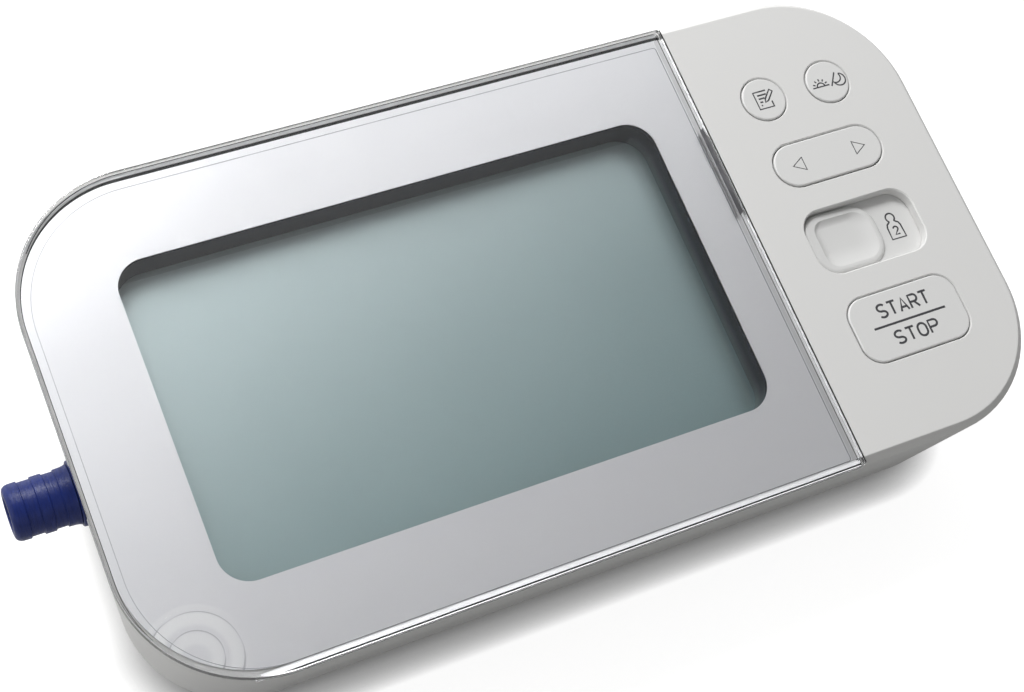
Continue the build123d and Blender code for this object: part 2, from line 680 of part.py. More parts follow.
def key_ribbon():
    """The flat cable that joins the undersides of the two boards."""
    key_side = -KEY_BOARD_TOP - BOARD_THICK
    low = BOARD_UNDER - RIBBON_SLACK
    thick = RIBBON_THICK
    bend = 1.0
    strip = [
        (RIBBON_KEY_X, key_side), (RIBBON_KEY_X, low + bend), (RIBBON_KEY_X - bend, low),
        (RIBBON_MAIN_X + bend, low), (RIBBON_MAIN_X, low + bend), (RIBBON_MAIN_X, BOARD_UNDER),
        (RIBBON_MAIN_X + thick, BOARD_UNDER), (RIBBON_MAIN_X + thick, low + bend + thick / 2),
        (RIBBON_MAIN_X + bend + thick / 2, low + thick), (RIBBON_KEY_X - bend - thick / 2, low + thick),
        (RIBBON_KEY_X - thick, low + bend + thick / 2), (RIBBON_KEY_X - thick, key_side),
    ]
    section = make_face(Plane.XZ * Polyline(*strip, close=True))
    y0, y1 = RIBBON_Y
    return FACE * (Pos(0, y1, 0) * extrude(section, amount=y1 - y0, dir=(0, -1, 0)))


def air_jack():
    """The socket that the air plug's nose pushes into, with a spigot behind it."""
    y, z = AIR_AXIS
    wide_end = AIR_SEAT_X + 3.4
    bore_end = AIR_SEAT_X + NOSE_LENGTH + 1.4
    spigot_end = JACK_END_X + SPIGOT
    jack = rod_x(AIR_SEAT_X, wide_end, y, z, AIR_HOLE_RADIUS - 0.05)
    jack += rod_x(wide_end, JACK_END_X, y, z, JACK_BODY_RADIUS)
    jack += rod_x(AIR_SEAT_X + 2.4, AIR_SEAT_X + 4.0, y, z, 8.0)
    jack += rod_x(JACK_END_X, spigot_end, y, z, TUBE_INNER)
    jack -= rod_x(AIR_SEAT_X, bore_end, y, z, NOSE_RADIUS + NOSE_FIT)
    jack -= rod_x(bore_end, spigot_end, y, z, DUCT)
    return FACE * jack


def air_plug():
    """Turned grip with finger rings, a flange against the case and a nose in the jack."""
    seat = AIR_SEAT_X - 0.05
    nose = AIR_SEAT_X + NOSE_LENGTH
    full = PLUG_RADIUS
    collar = full - 0.3
    waist = PLUG_WAIST
    grip = [
        (0, 0), (0, full - 0.9), (0.3, collar), (0.9, full), (2.2, full), (2.3, collar),
        (2.6, collar), (2.7, waist), (4.2, waist), (4.5, full - 0.1), (5.9, full - 0.1),
        (6.0, collar), (6.3, collar), (6.4, waist), (7.9, waist), (8.3, full),
        (11.4, full), (11.8, waist),
    ]
    flange = [
        (-1.4, waist), (-1.2, PLUG_FLANGE), (-0.2, PLUG_FLANGE), (0, PLUG_FLANGE - 0.2), (0, NOSE_RADIUS),
    ]
    groove = NOSE_RADIUS - 0.8
    front = RING_PLACE - 0.8
    back = RING_PLACE + 0.8
    tip = [
        (-back, NOSE_RADIUS), (-back, groove), (-front, groove), (-front, NOSE_RADIUS),
        (-0.6, NOSE_RADIUS), (0, NOSE_RADIUS - 0.6), (0, 0),
    ]
    profile = [(PLUG_END_X + x, r) for x, r in grip]
    profile += [(seat + x, r) for x, r in flange]
    profile += [(nose + x, r) for x, r in tip]
    plug = revolve(make_face(Polyline(*profile, close=True)), axis=Axis.X)
    plug -= rod_x(PLUG_END_X - THROUGH, PLUG_END_X + HOSE_SOCKET[1], 0, 0, HOSE_SOCKET[0])
    plug -= rod_x(PLUG_END_X, nose + THROUGH, 0, 0, 1.0)
    return FACE * (Pos(0, *AIR_AXIS) * plug)


def plug_o_ring():
    middle = AIR_SEAT_X + NOSE_LENGTH - RING_PLACE
    return FACE * (Pos(middle, *AIR_AXIS) * Rot(0, 90, 0) * Torus(RING_CENTRE, RING_SECTION))


def air_manifold():
    """A block that splits the air line between jack, sensor, pump and valve."""
    y, z = AIR_AXIS
    x = MANIFOLD_X
    half_width = MANIFOLD_SIZE[0] / 2
    half_length = MANIFOLD_SIZE[1] / 2
    ends = (x - half_width - 6, x + half_width + 6)
    front = y + half_length + 2.4
    bottom = z - half_length - 6
    block = plate((x, y), MANIFOLD_SIZE, 1, z - half_length, z + 4)
    block += rod_x(*ends, y, z, TUBE_INNER) + rod_y(y, front, x, z, TUBE_INNER)
    block += rod_z(x, y, bottom, z, TUBE_INNER)
    ducts = rod_x(*ends, y, z, DUCT) + rod_y(y, front, x, z, DUCT) + rod_z(x, y, bottom, z, DUCT)
    return FACE * (block - ducts)


def soft_tube(points, bend):
    """A silicone tube along straight runs joined by arcs."""
    route = FilletPolyline(*points, radius=bend) if len(points) > 2 else Polyline(*points)
    ring = Plane(origin=route @ 0, z_dir=route % 0) * (Circle(TUBE_OUTER) - Circle(TUBE_INNER))
    return sweep(ring, path=route)


def air_tubes():
    y, z = AIR_AXIS
    x = MANIFOLD_X
    half_width, half_length = MANIFOLD_SIZE[0] / 2, MANIFOLD_SIZE[1] / 2
    sensor_face = SENSOR_MIDDLE[1] - SENSOR_SIDE / 2
    jack_tube = [face_point(JACK_END_X, y, z), face_point(x - half_width, y, z)]
    sensor_tube = [face_point(x, y + half_length, z), face_point(x, sensor_face, z)]
    start = face_point(x + half_width, y, z)
    pump_tube = [start, (-6, start.Y, start.Z), (6, *PUMP_AXIS), (PUMP_HEAD_X, *PUMP_AXIS)]
    port = z - half_length
    valve_x, valve_y, valve_z = VALVE_SPIGOT
    valve_tube = [
        face_point(x, y, port), face_point(x, y, port - 11),
        (valve_x - 14, valve_y, valve_z), (valve_x + 5, valve_y, valve_z),
    ]
    routes = [(jack_tube, 1), (sensor_tube, 1), (pump_tube, 7), (valve_tube, 5)]
    return separate([soft_tube(points, bend) for points, bend in routes])


def pump_head():
    y, z = PUMP_AXIS
    x = PUMP_HEAD_X
    outline = RectangleRounded(PUMP_HEAD_SIDE, PUMP_HEAD_SIDE, 5)
    body = Pos(x, y, z) * Rot(0, 90, 0) * extrude(outline, amount=PUMP_HEAD_LENGTH)
    body += rod_x(x - 5, x, y, z, TUBE_INNER)
    return body - rod_x(x - 5, x + 3, y, z, DUCT)


def pump_motor():
    y, z = PUMP_AXIS
    x = PUMP_HEAD_X + PUMP_HEAD_LENGTH
    motor = rod_x(x, x + MOTOR_LENGTH, y, z, MOTOR_RADIUS)
    motor = fillet(motor.edges().filter_by(GeomType.CIRCLE), 1)
    return motor + rod_x(x + MOTOR_LENGTH, x + MOTOR_LENGTH + 2, y, z, 3)


def pump_saddle():
    """Two rubber blocks on the battery bay's roof, under the motor and under the head."""
    y, z = PUMP_AXIS
    roof = BAY_ROOF + BAY_WALL
    x = PUMP_HEAD_X
    motor_block = band(x + 18, x + 26, y, 10, roof, z - 4)
    motor_block -= rod_x(x, x + 40, y, z, MOTOR_RADIUS)
    return separate([motor_block, band(x + 2, x + 14, y, 10, roof, z - PUMP_HEAD_SIDE / 2)])


def release_valve():
    x, y, z = VALVE_SPIGOT
    roof = BAY_ROOF + BAY_WALL
    body = band(x + 5, x + 5 + VALVE_LENGTH, y, VALVE_HALF_WIDTH, roof, z + 7)
    body = fillet(body.edges().filter_by(Axis.X), 1)
    body += rod_x(x, x + 5, y, z, TUBE_INNER)
    return body - rod_x(x, x + 8, y, z, DUCT)


def dc_jack():
    """The adapter socket: a collar in the wall, a barrel bore and its centre pin."""
    y, z = POWER_AXIS
    x = POWER_SEAT_X
    collar_radius, collar_depth = COLLAR_BORE
    barrel_radius, barrel_depth = BARREL_BORE
    floor = x - collar_depth
    jack = rod_x(floor - barrel_depth - 1.5, x, y, z, POWER_BODY_RADIUS)
    jack += rod_x(x - 4.4, x - 2.6, y, z, POWER_FLANGE_RADIUS)
    jack -= rod_x(floor, x, y, z, collar_radius)
    jack -= rod_x(floor - barrel_depth, x, y, z, barrel_radius)
    pin = rod_x(floor - barrel_depth - 0.5, floor - 1, y, z, CENTRE_PIN)
    return FACE * (jack + pin)


def cell_x(i):
    return FACE_MIDDLE_X + (i - (CELL_COUNT - 1) / 2) * CELL_PITCH


def battery_cells():
    """Cells side by side, every other one turned end for end."""
    nipple_radius, nipple_height = CELL_NIPPLE
    body_length = CELL_LENGTH - nipple_height
    body = fillet(rod_y(0, body_length, 0, 0, CELL_RADIUS).edges().filter_by(GeomType.CIRCLE), 0.5)
    body += rod_y(body_length - 0.1, CELL_LENGTH, 0, 0, nipple_radius)
    turned = Pos(0, CELL_LENGTH, 0) * Rot(0, 0, 180) * body
    start = (BAY_FRONT + BAY_BACK - CELL_LENGTH) / 2
    cells = []
    for i in range(CELL_COUNT):
        cells.append(Pos(cell_x(i), start, CELL_HEIGHT) * (turned if i % 2 else body))
    return separate(cells)


def battery_contacts():
    """Bent spring strips at both ends of each cell."""
    foot = CONTACT_FOOT
    thick = 0.5
    strips = []
    for wall, way in ((BAY_FRONT, 1), (BAY_BACK, -1)):
        outer = [
            (0, foot), (thick, foot), (CONTACT_REACH, 0.6),
            (CONTACT_REACH, -0.6), (thick, -foot), (0, -foot),
        ]
        inner = [
            (thick - 0.1, foot - 1), (CONTACT_REACH - thick, 0.4),
            (CONTACT_REACH - thick, -0.4), (thick - 0.1, 1 - foot),
        ]
        faces = []
        for outline in (outer, inner):
            points = [(wall + way * reach, CELL_HEIGHT + height) for reach, height in outline]
            faces.append(make_face(Plane.YZ * Polyline(*points, close=True)))
        section = faces[0] - faces[1]
        for i in range(CELL_COUNT):
            left = cell_x(i) - CONTACT_HALF_WIDTH
            strips.append(Pos(left, 0, 0) * extrude(section, amount=2 * CONTACT_HALF_WIDTH, dir=(1, 0, 0)))
    return separate(strips)


def battery_cover():
    """A flat door with a rounded hinge edge, two stub pins and a ridged thumb grip."""
    x0 = FACE_MIDDLE_X - BAY_HALF_WIDTH + COVER_GAP
    x1 = FACE_MIDDLE_X + BAY_HALF_WIDTH - COVER_GAP
    cover = box(x0, x1, HINGE_Y, BAY_BACK - COVER_GAP, CASE_BOTTOM, CASE_BOTTOM + COVER_THICK)
    cover += rod_x(x0, x1, HINGE_Y, HINGE_Z, COVER_THICK / 2)
    cover += rod_x(x0 - HINGE_PIN_LENGTH, x1 + HINGE_PIN_LENGTH, HINGE_Y, HINGE_Z, HINGE_PIN)
    for i in range(GRIP_RIDGES):
        y = BAY_BACK - 6 - GRIP_PITCH * i
        cover -= band(
            FACE_MIDDLE_X - GRIP_HALF_WIDTH, FACE_MIDDLE_X + GRIP_HALF_WIDTH, y, GRIP_PITCH / 4,
            0, CASE_BOTTOM + 0.5,
        )
    return cover


def case_screws():
    """Cross-head screws up through the wells into the upper case's posts."""
    head_radius, head_height = SCREW_HEAD
    seat = -SCREW_SEAT_DEPTH
    bottom = seat - head_height
    screws = []
    for x, y in CASE_SCREWS:
        shank = rod_z(x, y, seat, seat + SCREW_LENGTH, SCREW_THREAD)
        head = rod_z(x, y, bottom, seat, head_radius)
        head = fillet(bottom_edges(head), 0.7)
        head -= band(x - 1.9, x + 1.9, y, 0.35, bottom, bottom + 1.2)
        head -= band(x - 0.35, x + 0.35, y, 1.9, bottom, bottom + 1.2)
        screws.append(shank + head)
    return FACE * separate(screws)


def board_screws():
    screws = []
    for places, top in ((BOARD_POSTS, BOARD_TOP), (KEY_POSTS, KEY_BOARD_TOP)):
        for x, y in places:
            seat = -top - BOARD_THICK
            screws.append(rod_z(x, y, seat, seat + 5.5, SCREW_PILOT) + rod_z(x, y, seat - 1.3, seat, 1.9))
    return FACE * separate(screws)


def rubber_feet():
    feet = []
    for x, y in FEET:
        foot = rod_z(x, y, 0, CASE_BOTTOM + FOOT_RECESS, FOOT_RADIUS)
        feet.append(fillet(bottom_edges(foot), 0.5))
    return separate(feet)


def placed(piece, shift):
    """A piece moved solid by solid, so that each carries its own place."""
    solids = [shift * solid for solid in piece.solids()]
    return solids[0] if len(solids) == 1 else Compound(solids)


def build_all():
    """Every piece by name, with the origin moved to the middle of the footprint."""
    pieces = {
        "upper_case": upper_case(),
        "lower_case": lower_case(),
        "display_lens": display_lens(),
        "lens_mask": lens_mask(),
        "lens_tape": lens_tape(),
        "display_frame": display_frame(),
        "lcd_panel": lcd_panel(),
        "lcd_holder": lcd_holder(),
        "lcd_reflector": lcd_reflector(),
        "zebra_strips": zebra_strips(),
        "main_board": main_board(),
        "board_chips": board_chips(),
        "buzzer": buzzer(),
        "pressure_sensor": pressure_sensor(),
        "key_board": key_board(),
        "key_ribbon": key_ribbon(),
        "push_switches": push_switches(),
        "memory_pin": FACE * switch_pin(MEMORY_KEY),
        "average_pin": FACE * switch_pin(AVERAGE_KEY),
        "start_pin": FACE * switch_pin(START_MIDDLE),
        "rocker_pins": rocker_pins(),
        "memory_key": round_key(MEMORY_KEY),
        "average_key": round_key(AVERAGE_KEY),
        "start_key": start_key(),
        "arrow_rocker": arrow_rocker(),
        "rocker_cradle": rocker_cradle(),
        "user_slider": user_slider(),
        "slider_guide": slider_guide(),
        "slide_switch": slide_switch(),
        "slide_knob": slide_knob(),
        "air_jack": air_jack(),
        "air_plug": air_plug(),
        "plug_o_ring": plug_o_ring(),
        "air_manifold": air_manifold(),
        "air_tubes": air_tubes(),
        "pump_head": pump_head(),
        "pump_motor": pump_motor(),
        "pump_saddle": pump_saddle(),
        "release_valve": release_valve(),
        "dc_jack": dc_jack(),
        "battery_cells": battery_cells(),
        "battery_contacts": battery_contacts(),
        "battery_cover": battery_cover(),
        "case_screws": case_screws(),
        "board_screws": board_screws(),
        "rubber_feet": rubber_feet(),
    }
    boxes = [piece.bounding_box() for piece in pieces.values()]
    middle_x = (min(b.min.X for b in boxes) + max(b.max.X for b in boxes)) / 2
    middle_y = (min(b.min.Y for b in boxes) + max(b.max.Y for b in boxes)) / 2
    shift = Pos(-middle_x, -middle_y, 0)
    return {name: placed(piece, shift) for name, piece in pieces.items()}, shift


PIECES, SHIFT = build_all()
os.makedirs("parts", exist_ok=True)
for name, piece in PIECES.items():
    export_step(piece, f"parts/{name}.step")
print("origin moved by", SHIFT.position)
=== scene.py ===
from math import cos, hypot, pi, radians, sin

import bpy
from bpy.props import FloatProperty, FloatVectorProperty, PointerProperty
from bpy.types import Operator, Panel, PropertyGroup
from mathutils import Matrix, Vector


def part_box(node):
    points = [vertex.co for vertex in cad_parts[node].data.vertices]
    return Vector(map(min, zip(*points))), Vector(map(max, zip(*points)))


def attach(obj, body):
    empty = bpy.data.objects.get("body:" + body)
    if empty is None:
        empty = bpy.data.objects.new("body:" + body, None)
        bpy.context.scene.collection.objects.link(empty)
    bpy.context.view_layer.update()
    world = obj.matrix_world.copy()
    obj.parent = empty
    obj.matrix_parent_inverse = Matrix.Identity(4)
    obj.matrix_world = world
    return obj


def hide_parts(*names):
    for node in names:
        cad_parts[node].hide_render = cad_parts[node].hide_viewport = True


bl_info = {
    "name": "Blood pressure console",
    "version": (1, 0, 0),
    "blender": (4, 5, 0),
    "location": "View3D > Sidebar > Console",
    "description": "Dresses a tabletop blood pressure console: lens, display, keys, signs and air plug",
    "category": "Object",
}

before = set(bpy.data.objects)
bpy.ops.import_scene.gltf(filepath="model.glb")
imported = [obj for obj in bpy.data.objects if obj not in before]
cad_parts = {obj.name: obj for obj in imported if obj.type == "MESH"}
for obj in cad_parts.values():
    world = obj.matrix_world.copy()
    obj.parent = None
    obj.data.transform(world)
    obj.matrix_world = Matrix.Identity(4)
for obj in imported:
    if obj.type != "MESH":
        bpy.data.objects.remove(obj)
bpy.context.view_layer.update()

# Lengths are in metres, and those of shapes on the face are written in millimetres. The console's face
# is a slope of 30 degrees, and most pieces are made flat, in the face's own frame: x to the right, y up
# the slope, z out of the face, origin at the middle of the display window. FACE carries them onto the slope.
MM = 0.001
FACE_TILT = radians(30)
OUT_OF_FACE = Vector((0, -sin(FACE_TILT), cos(FACE_TILT)))
REFLECTOR_DEPTH = 13.1 * MM


def node_middle(node):
    low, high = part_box(node)
    return (low + high) / 2


FACE_MIDDLE = node_middle("lcd_reflector") + REFLECTOR_DEPTH * OUT_OF_FACE
FACE = Matrix.Translation(FACE_MIDDLE) @ Matrix.Rotation(FACE_TILT, 4, "X")
# Where the lens was filled in its mould, on the face, in millimetres.
GATE = (-65.3, -41.9)
# How far the slider's plate and the keys' tops stand out of the face, in millimetres.
SLIDER_FLOOR = -2.52
KEY_FACE = 0.15


def face_x(node):
    """The middle of a node across the face."""
    return node_middle(node).x - FACE_MIDDLE.x


# ---- materials -------------------------------------------------------------------------------------


class Wire:
    """One socket of a finish, so that sums and products of values read as they are written."""

    def __init__(self, finish, socket):
        self.finish = finish
        self.socket = socket

    def maths(self, operation, *others):
        inputs = dict(enumerate((self, *others)))
        return self.finish.node("ShaderNodeMath", {"operation": operation}, inputs)

    def __add__(self, other):
        return self.maths("ADD", other)

    __radd__ = __add__

    def __sub__(self, other):
        return self.maths("SUBTRACT", other)

    def __rsub__(self, other):
        return self.finish.number(other).maths("SUBTRACT", self)

    def __mul__(self, other):
        return self.maths("MULTIPLY", other)

    __rmul__ = __mul__

    def __truediv__(self, other):
        return self.maths("DIVIDE", other)

    def __pow__(self, other):
        return self.maths("POWER", other)

    def above(self, edge, soft):
        """0 below an edge and 1 above it, with a soft step of the width given."""
        inputs = {0: self, 1: edge - soft / 2, 2: edge + soft / 2}
        return self.finish.node("ShaderNodeMapRange", {"interpolation_type": "SMOOTHSTEP"}, inputs)

    def between(self, low, high, soft):
        return self.above(low, soft) * (1 - self.above(high, soft))


class NodeTree:
    """The nodes of a material or of the sky, while they are being made."""

    def __init__(self, owner):
        owner.use_nodes = True
        self.nodes = owner.node_tree.nodes
        self.links = owner.node_tree.links

    def feed(self, socket, value):
        if isinstance(value, Wire):
            self.links.new(value.socket, socket)
        else:
            socket.default_value = value

    def node(self, kind, settings=None, inputs=None, output=0):
        """Adds a node: its settings first, then its sockets' values or links."""
        made = self.nodes.new(kind)
        for name, value in (settings or {}).items():
            setattr(made, name, value)
        for name, value in (inputs or {}).items():
            self.feed(made.inputs[name], value)
        return Wire(self, made.outputs[output])

    def number(self, value):
        return self.node("ShaderNodeMath", {"operation": "ADD"}, {0: value, 1: 0.0})

    def rays(self, *kinds):
        """1 for the kinds of ray named, and 0 for the others."""
        chosen = self.node("ShaderNodeLightPath", output=f"Is {kinds[0]} Ray")
        for kind in kinds[1:]:
            chosen = chosen.maths("MAXIMUM", self.node("ShaderNodeLightPath", output=f"Is {kind} Ray"))
        return chosen

    def blend(self, factor, first, second):
        """Mixes two shaders."""
        return self.node("ShaderNodeMixShader", None, {0: factor, 1: first, 2: second})


class Finish(NodeTree):
    """A material being made: its nodes and its main shader."""

    def __init__(self, name, colour, **constants):
        self.material = bpy.data.materials.new(name)
        super().__init__(self.material)
        self.shader = self.nodes["Principled BSDF"]
        self.colour = (*colour[:3], 1.0)
        self.shader.inputs["Base Color"].default_value = self.colour
        for socket, value in constants.items():
            self.shader.inputs[socket.replace("_", " ")].default_value = value

    def place(self):
        """Object coordinates, in metres."""
        return self.node("ShaderNodeTexCoord", output="Object")

    def face_place(self):
        """Object coordinates turned into the face's own frame, in millimetres."""
        frame_of_face = {"Location": FACE_MIDDLE, "Rotation": (FACE_TILT, 0, 0), "Scale": (MM, MM, MM)}
        inputs = {"Vector": self.place(), **frame_of_face}
        return self.node("ShaderNodeMapping", {"vector_type": "TEXTURE"}, inputs)

    def axes(self, vector):
        return [self.node("ShaderNodeSeparateXYZ", None, {0: vector}, i) for i in range(3)]

    def noise(self, scale, detail=2.0, roughness=0.5, vector=None):
        inputs = {"Vector": vector or self.place(), "Scale": scale, "Detail": detail, "Roughness": roughness}
        return self.node("ShaderNodeTexNoise", None, inputs)

    def mix(self, factor, first, second):
        """Mixes two colours."""
        settings = {"data_type": "RGBA"}
        first = first if isinstance(first, Wire) else (*first[:3], 1.0)
        second = second if isinstance(second, Wire) else (*second[:3], 1.0)
        return self.node("ShaderNodeMix", settings, {0: factor, 6: first, 7: second}, 2)

    def tint(self, factor, shade):
        """The finish's own colour, going towards a shade of it where the factor is 1."""
        shaded = tuple(channel * shade for channel in self.colour[:3])
        return self.mix(factor, self.colour, shaded)

    def colour_from(self, wire):
        self.feed(self.shader.inputs["Base Color"], wire)
        return self

    def roughness_from(self, wire):
        self.feed(self.shader.inputs["Roughness"], wire)
        return self

    def bump(self, height, distance, strength=1.0):
        inputs = {"Height": height, "Distance": distance, "Strength": strength}
        self.feed(self.shader.inputs["Normal"], self.node("ShaderNodeBump", None, inputs))
        return self


def moulded_plastic(name, colour, grain=0.35 * MM, depth=0.012 * MM, roughness=0.42):
    """Satin moulded plastic: a fine spark-eroded grain, with faint clouds of tone and gloss."""
    finish = Finish(name, colour, Specular_IOR_Level=0.42)
    grain_height = finish.noise(1 / grain, 3.0, 0.6)
    clouds = finish.noise(35.0, 2.0)
    finish.colour_from(finish.tint(clouds * 0.5 + grain_height * 0.25, 0.955))
    finish.roughness_from(roughness + (clouds - 0.5) * 0.10 + (grain_height - 0.5) * 0.08)
    return finish.bump(grain_height, depth, 0.6).material


def glossy_plastic(name, colour, roughness=0.16):
    """Polished moulded plastic with a slight orange-peel flow and fine handling scuffs."""
    finish = Finish(name, colour, Specular_IOR_Level=0.5)
    flow = finish.noise(220.0, 1.0)
    scuffs = finish.noise(1500.0, 4.0, 0.7)
    finish.colour_from(finish.tint(flow * 0.6, 0.9))
    finish.roughness_from(roughness + scuffs.above(0.56, 0.12) * 0.14)
    return finish.bump(flow + scuffs * 0.2, 0.02 * MM, 0.5).material


def turned_plastic(name, colour, roughness=0.36):
    """Plastic off a turned mould: fine lines round the x axis, broken up by scuffs."""
    finish = Finish(name, colour, Specular_IOR_Level=0.3)
    stretched = finish.node("ShaderNodeMapping", None, {"Vector": finish.place(), "Scale": (1, 0.12, 0.12)})
    lines = finish.noise(2000.0, 3.0, 0.7, stretched)
    scuffs = finish.noise(900.0, 4.0, 0.7)
    finish.colour_from(finish.tint(lines.above(0.5, 0.3) * 0.7 + scuffs * 0.3, 0.7))
    finish.roughness_from(roughness + (lines - 0.5) * 0.25 + scuffs.above(0.55, 0.1) * 0.12)
    return finish.bump(lines + scuffs * 0.4, 0.13 * MM, 1.0).material


def silver_print(name, colour):
    """Silver ink: fine flakes in a binder, more mirror than paint, with painted reflections of the lens's
    flow rings round its gate.
    """
    finish = Finish(name, colour, Specular_IOR_Level=0.5)
    x, y, _ = finish.axes(finish.face_place())
    away = ((x - GATE[0]) ** 2 + (y - GATE[1]) ** 2) ** 0.5
    # Painted reflections of the lens's flow rings: whiter, less metallic rings round the gate, with darker
    # painted lines at their edges.
    painted_ring_reflections = away.between(8.7, 9.7, 0.5) * 0.4
    painted_ring_reflections = painted_ring_reflections + away.between(6.0, 8.2, 1.2) * 0.8 + away.between(2.6, 4.6, 1.2) * 0.6
    painted_ring_reflections = painted_ring_reflections * (1 - x.above(-57.5, 7.0))
    edges = (away.between(8.28, 8.5, 0.12) + away.between(4.88, 5.1, 0.12)) * (1 - x.above(-56.0, 5.0))
    flakes = finish.node("ShaderNodeTexVoronoi", None, {"Vector": finish.place(), "Scale": 9000.0}, "Color")
    brightness = finish.axes(flakes)[0]
    clouds = finish.noise(60.0, 2.0)
    flaked = finish.tint(brightness * 0.3 + clouds * 0.3, 0.95)
    with_painted_reflections = finish.mix(painted_ring_reflections * 0.9, flaked, (1.0, 1.0, 1.0))
    finish.colour_from(finish.mix(edges * 0.6, with_painted_reflections, (0.40, 0.40, 0.42)))
    finish.feed(finish.shader.inputs["Metallic"], 0.8 - painted_ring_reflections * 0.45)
    finish.roughness_from(0.31 + (brightness - 0.5) * 0.04)
    return finish.bump(brightness, 0.0005 * MM, 0.1).material


def clear_acrylic(name, colour):
    """Polished clear acrylic, with hairline wiping marks."""
    finish = Finish(name, colour, Transmission_Weight=1.0, IOR=1.49, Specular_IOR_Level=0.5)
    wipes = finish.noise(90.0, 3.0, 0.6)
    finish.roughness_from(wipes.above(0.62, 0.1) * 0.02)
    return finish.bump(wipes, 0.002 * MM, 0.3).material


def display_glass(name, colour, dark):
    """A reflective liquid crystal panel that is off: soft grey green, with a painted light falloff from its
    upper left to its lower right, and painted shade along its top and right edges.
    """
    finish = Finish(name, colour, Metallic=0.75, Specular_IOR_Level=0.5)
    x, y, _ = finish.axes(finish.face_place())
    grain = finish.noise(2600.0, 2.0)
    clouds = finish.noise(18.0, 1.0)
    # Painted light: lighter towards the upper left and darker towards the lower right, as the light falls on
    # the panel.
    painted_light_falloff = ((x + 56) / 112 * 0.35 + (32 - y) / 64 * 0.65).above(0.5, 1.3)
    # Painted shade: the panel darkens along its top and right edges, where the window's walls shade it.
    painted_edge_shade = y.above(31.7, 0.2) * 0.3 + x.above(55.4, 1.8) * 0.4
    shade = painted_light_falloff * 0.9 + (clouds - 0.5) * 0.12 + (grain - 0.5) * 0.05
    glass = finish.mix(shade, colour, dark)
    finish.colour_from(finish.mix(painted_edge_shade, glass, tuple(channel * 0.6 for channel in dark[:3])))
    return finish.roughness_from(0.4 + (grain - 0.5) * 0.1).material


def dark_surround(name, colour):
    """Dark satin plastic, with painted light low on its right wall, where the panel's light falls on it."""
    finish = Finish(name, colour, Specular_IOR_Level=0.08)
    x, _, z = finish.axes(finish.face_place())
    grain = finish.noise(2600.0, 2.0)
    # Painted light: the right wall is paler towards its foot, in the panel's tone, as if lit by the panel.
    foot = x.above(54.0, 1.0) * (1 - z.above(-6.4, 4.4))
    finish.colour_from(finish.mix(foot, colour, (0.10, 0.125, 0.135)))
    finish.roughness_from(0.38 + (grain - 0.5) * 0.1)
    return finish.bump(grain, 0.01 * MM, 0.5).material


def satin_metal(name, colour, roughness=0.3, scale=900.0):
    """Rolled or turned metal with fine lines and dull patches."""
    finish = Finish(name, colour, Metallic=1.0)
    stretched = finish.node("ShaderNodeMapping", None, {"Vector": finish.place(), "Scale": (1, 12, 12)})
    lines = finish.noise(scale, 2.0, 0.6, stretched)
    patches = finish.noise(60.0, 2.0)
    finish.colour_from(finish.tint(patches * 0.5, 0.82))
    finish.roughness_from(roughness + (lines - 0.5) * 0.2 + (patches - 0.5) * 0.1)
    return finish.bump(lines, 0.006 * MM, 0.4).material


def soft_rubber(name, colour, roughness=0.75, gloss=0.3, dusty=0.02):
    """Moulded rubber with a dry, dusty grain."""
    finish = Finish(name, colour, Specular_IOR_Level=gloss)
    grain = finish.noise(2500.0, 3.0, 0.65)
    dust = finish.noise(120.0, 3.0, 0.6)
    paler = tuple(min(1.0, channel * 2.2 + dusty) for channel in colour[:3])
    finish.colour_from(finish.mix(dust.above(0.58, 0.25) * 0.5, colour, paler))
    finish.roughness_from(roughness + (dust - 0.5) * 0.2)
    return finish.bump(grain, 0.02 * MM, 0.6).material


def circuit_board(name, colour):
    """Green solder mask over copper tracks."""
    finish = Finish(name, colour, Specular_IOR_Level=0.5)
    weave = finish.noise(1200.0, 1.0)
    wander = {"Scale": 260.0, "Distortion": 6.0, "Detail": 1.0, "Detail Scale": 0.4}
    across = finish.node("ShaderNodeTexWave", {"bands_direction": "X"}, {"Vector": finish.place(), **wander})
    tracks = across.above(0.72, 0.08)
    pads = finish.node("ShaderNodeTexVoronoi", None, {"Vector": finish.place(), "Scale": 380.0})
    dots = 1 - pads.above(0.14, 0.03)
    copper = tuple(channel * 1.7 for channel in colour[:3])
    with_tracks = finish.mix(tracks, colour, copper)
    finish.colour_from(finish.mix(dots * 0.8, with_tracks, (0.62, 0.52, 0.28)))
    finish.roughness_from(0.32 + (weave - 0.5) * 0.1)
    return finish.bump(tracks, 0.03 * MM, 0.5).material


def printed_ink(name, colour):
    """Pad-printed ink: matt, with a slightly starved edge here and there."""
    finish = Finish(name, colour, Specular_IOR_Level=0.35)
    starved = finish.noise(4000.0, 2.0)
    finish.colour_from(finish.tint(starved.above(0.6, 0.2) * 0.35, 1.9))
    return finish.roughness_from(0.5 + (starved - 0.5) * 0.2).material


def cell_sleeve(name, colour):
    """A shrink sleeve round each cell with a bright band at one end."""
    finish = Finish(name, colour, Metallic=0.5, Specular_IOR_Level=0.5)
    _, y, _ = finish.axes(finish.place())
    _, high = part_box("battery_cells")
    band = y.above(high.y - 12 * MM, 0.3 * MM)
    crinkle = finish.noise(500.0, 2.0)
    finish.colour_from(finish.mix(band, colour, (0.62, 0.60, 0.55)))
    finish.roughness_from(0.3 + (crinkle - 0.5) * 0.2)
    return finish.bump(crinkle, 0.02 * MM, 0.4).material


def wear(node, material):
    """Gives a CAD node its material."""
    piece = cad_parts[node]
    piece.data.materials.clear()
    piece.data.materials.append(material)
    return piece


# ---- modelling helpers -----------------------------------------------------------------------------


def deselect():
    bpy.ops.object.select_all(action="DESELECT")


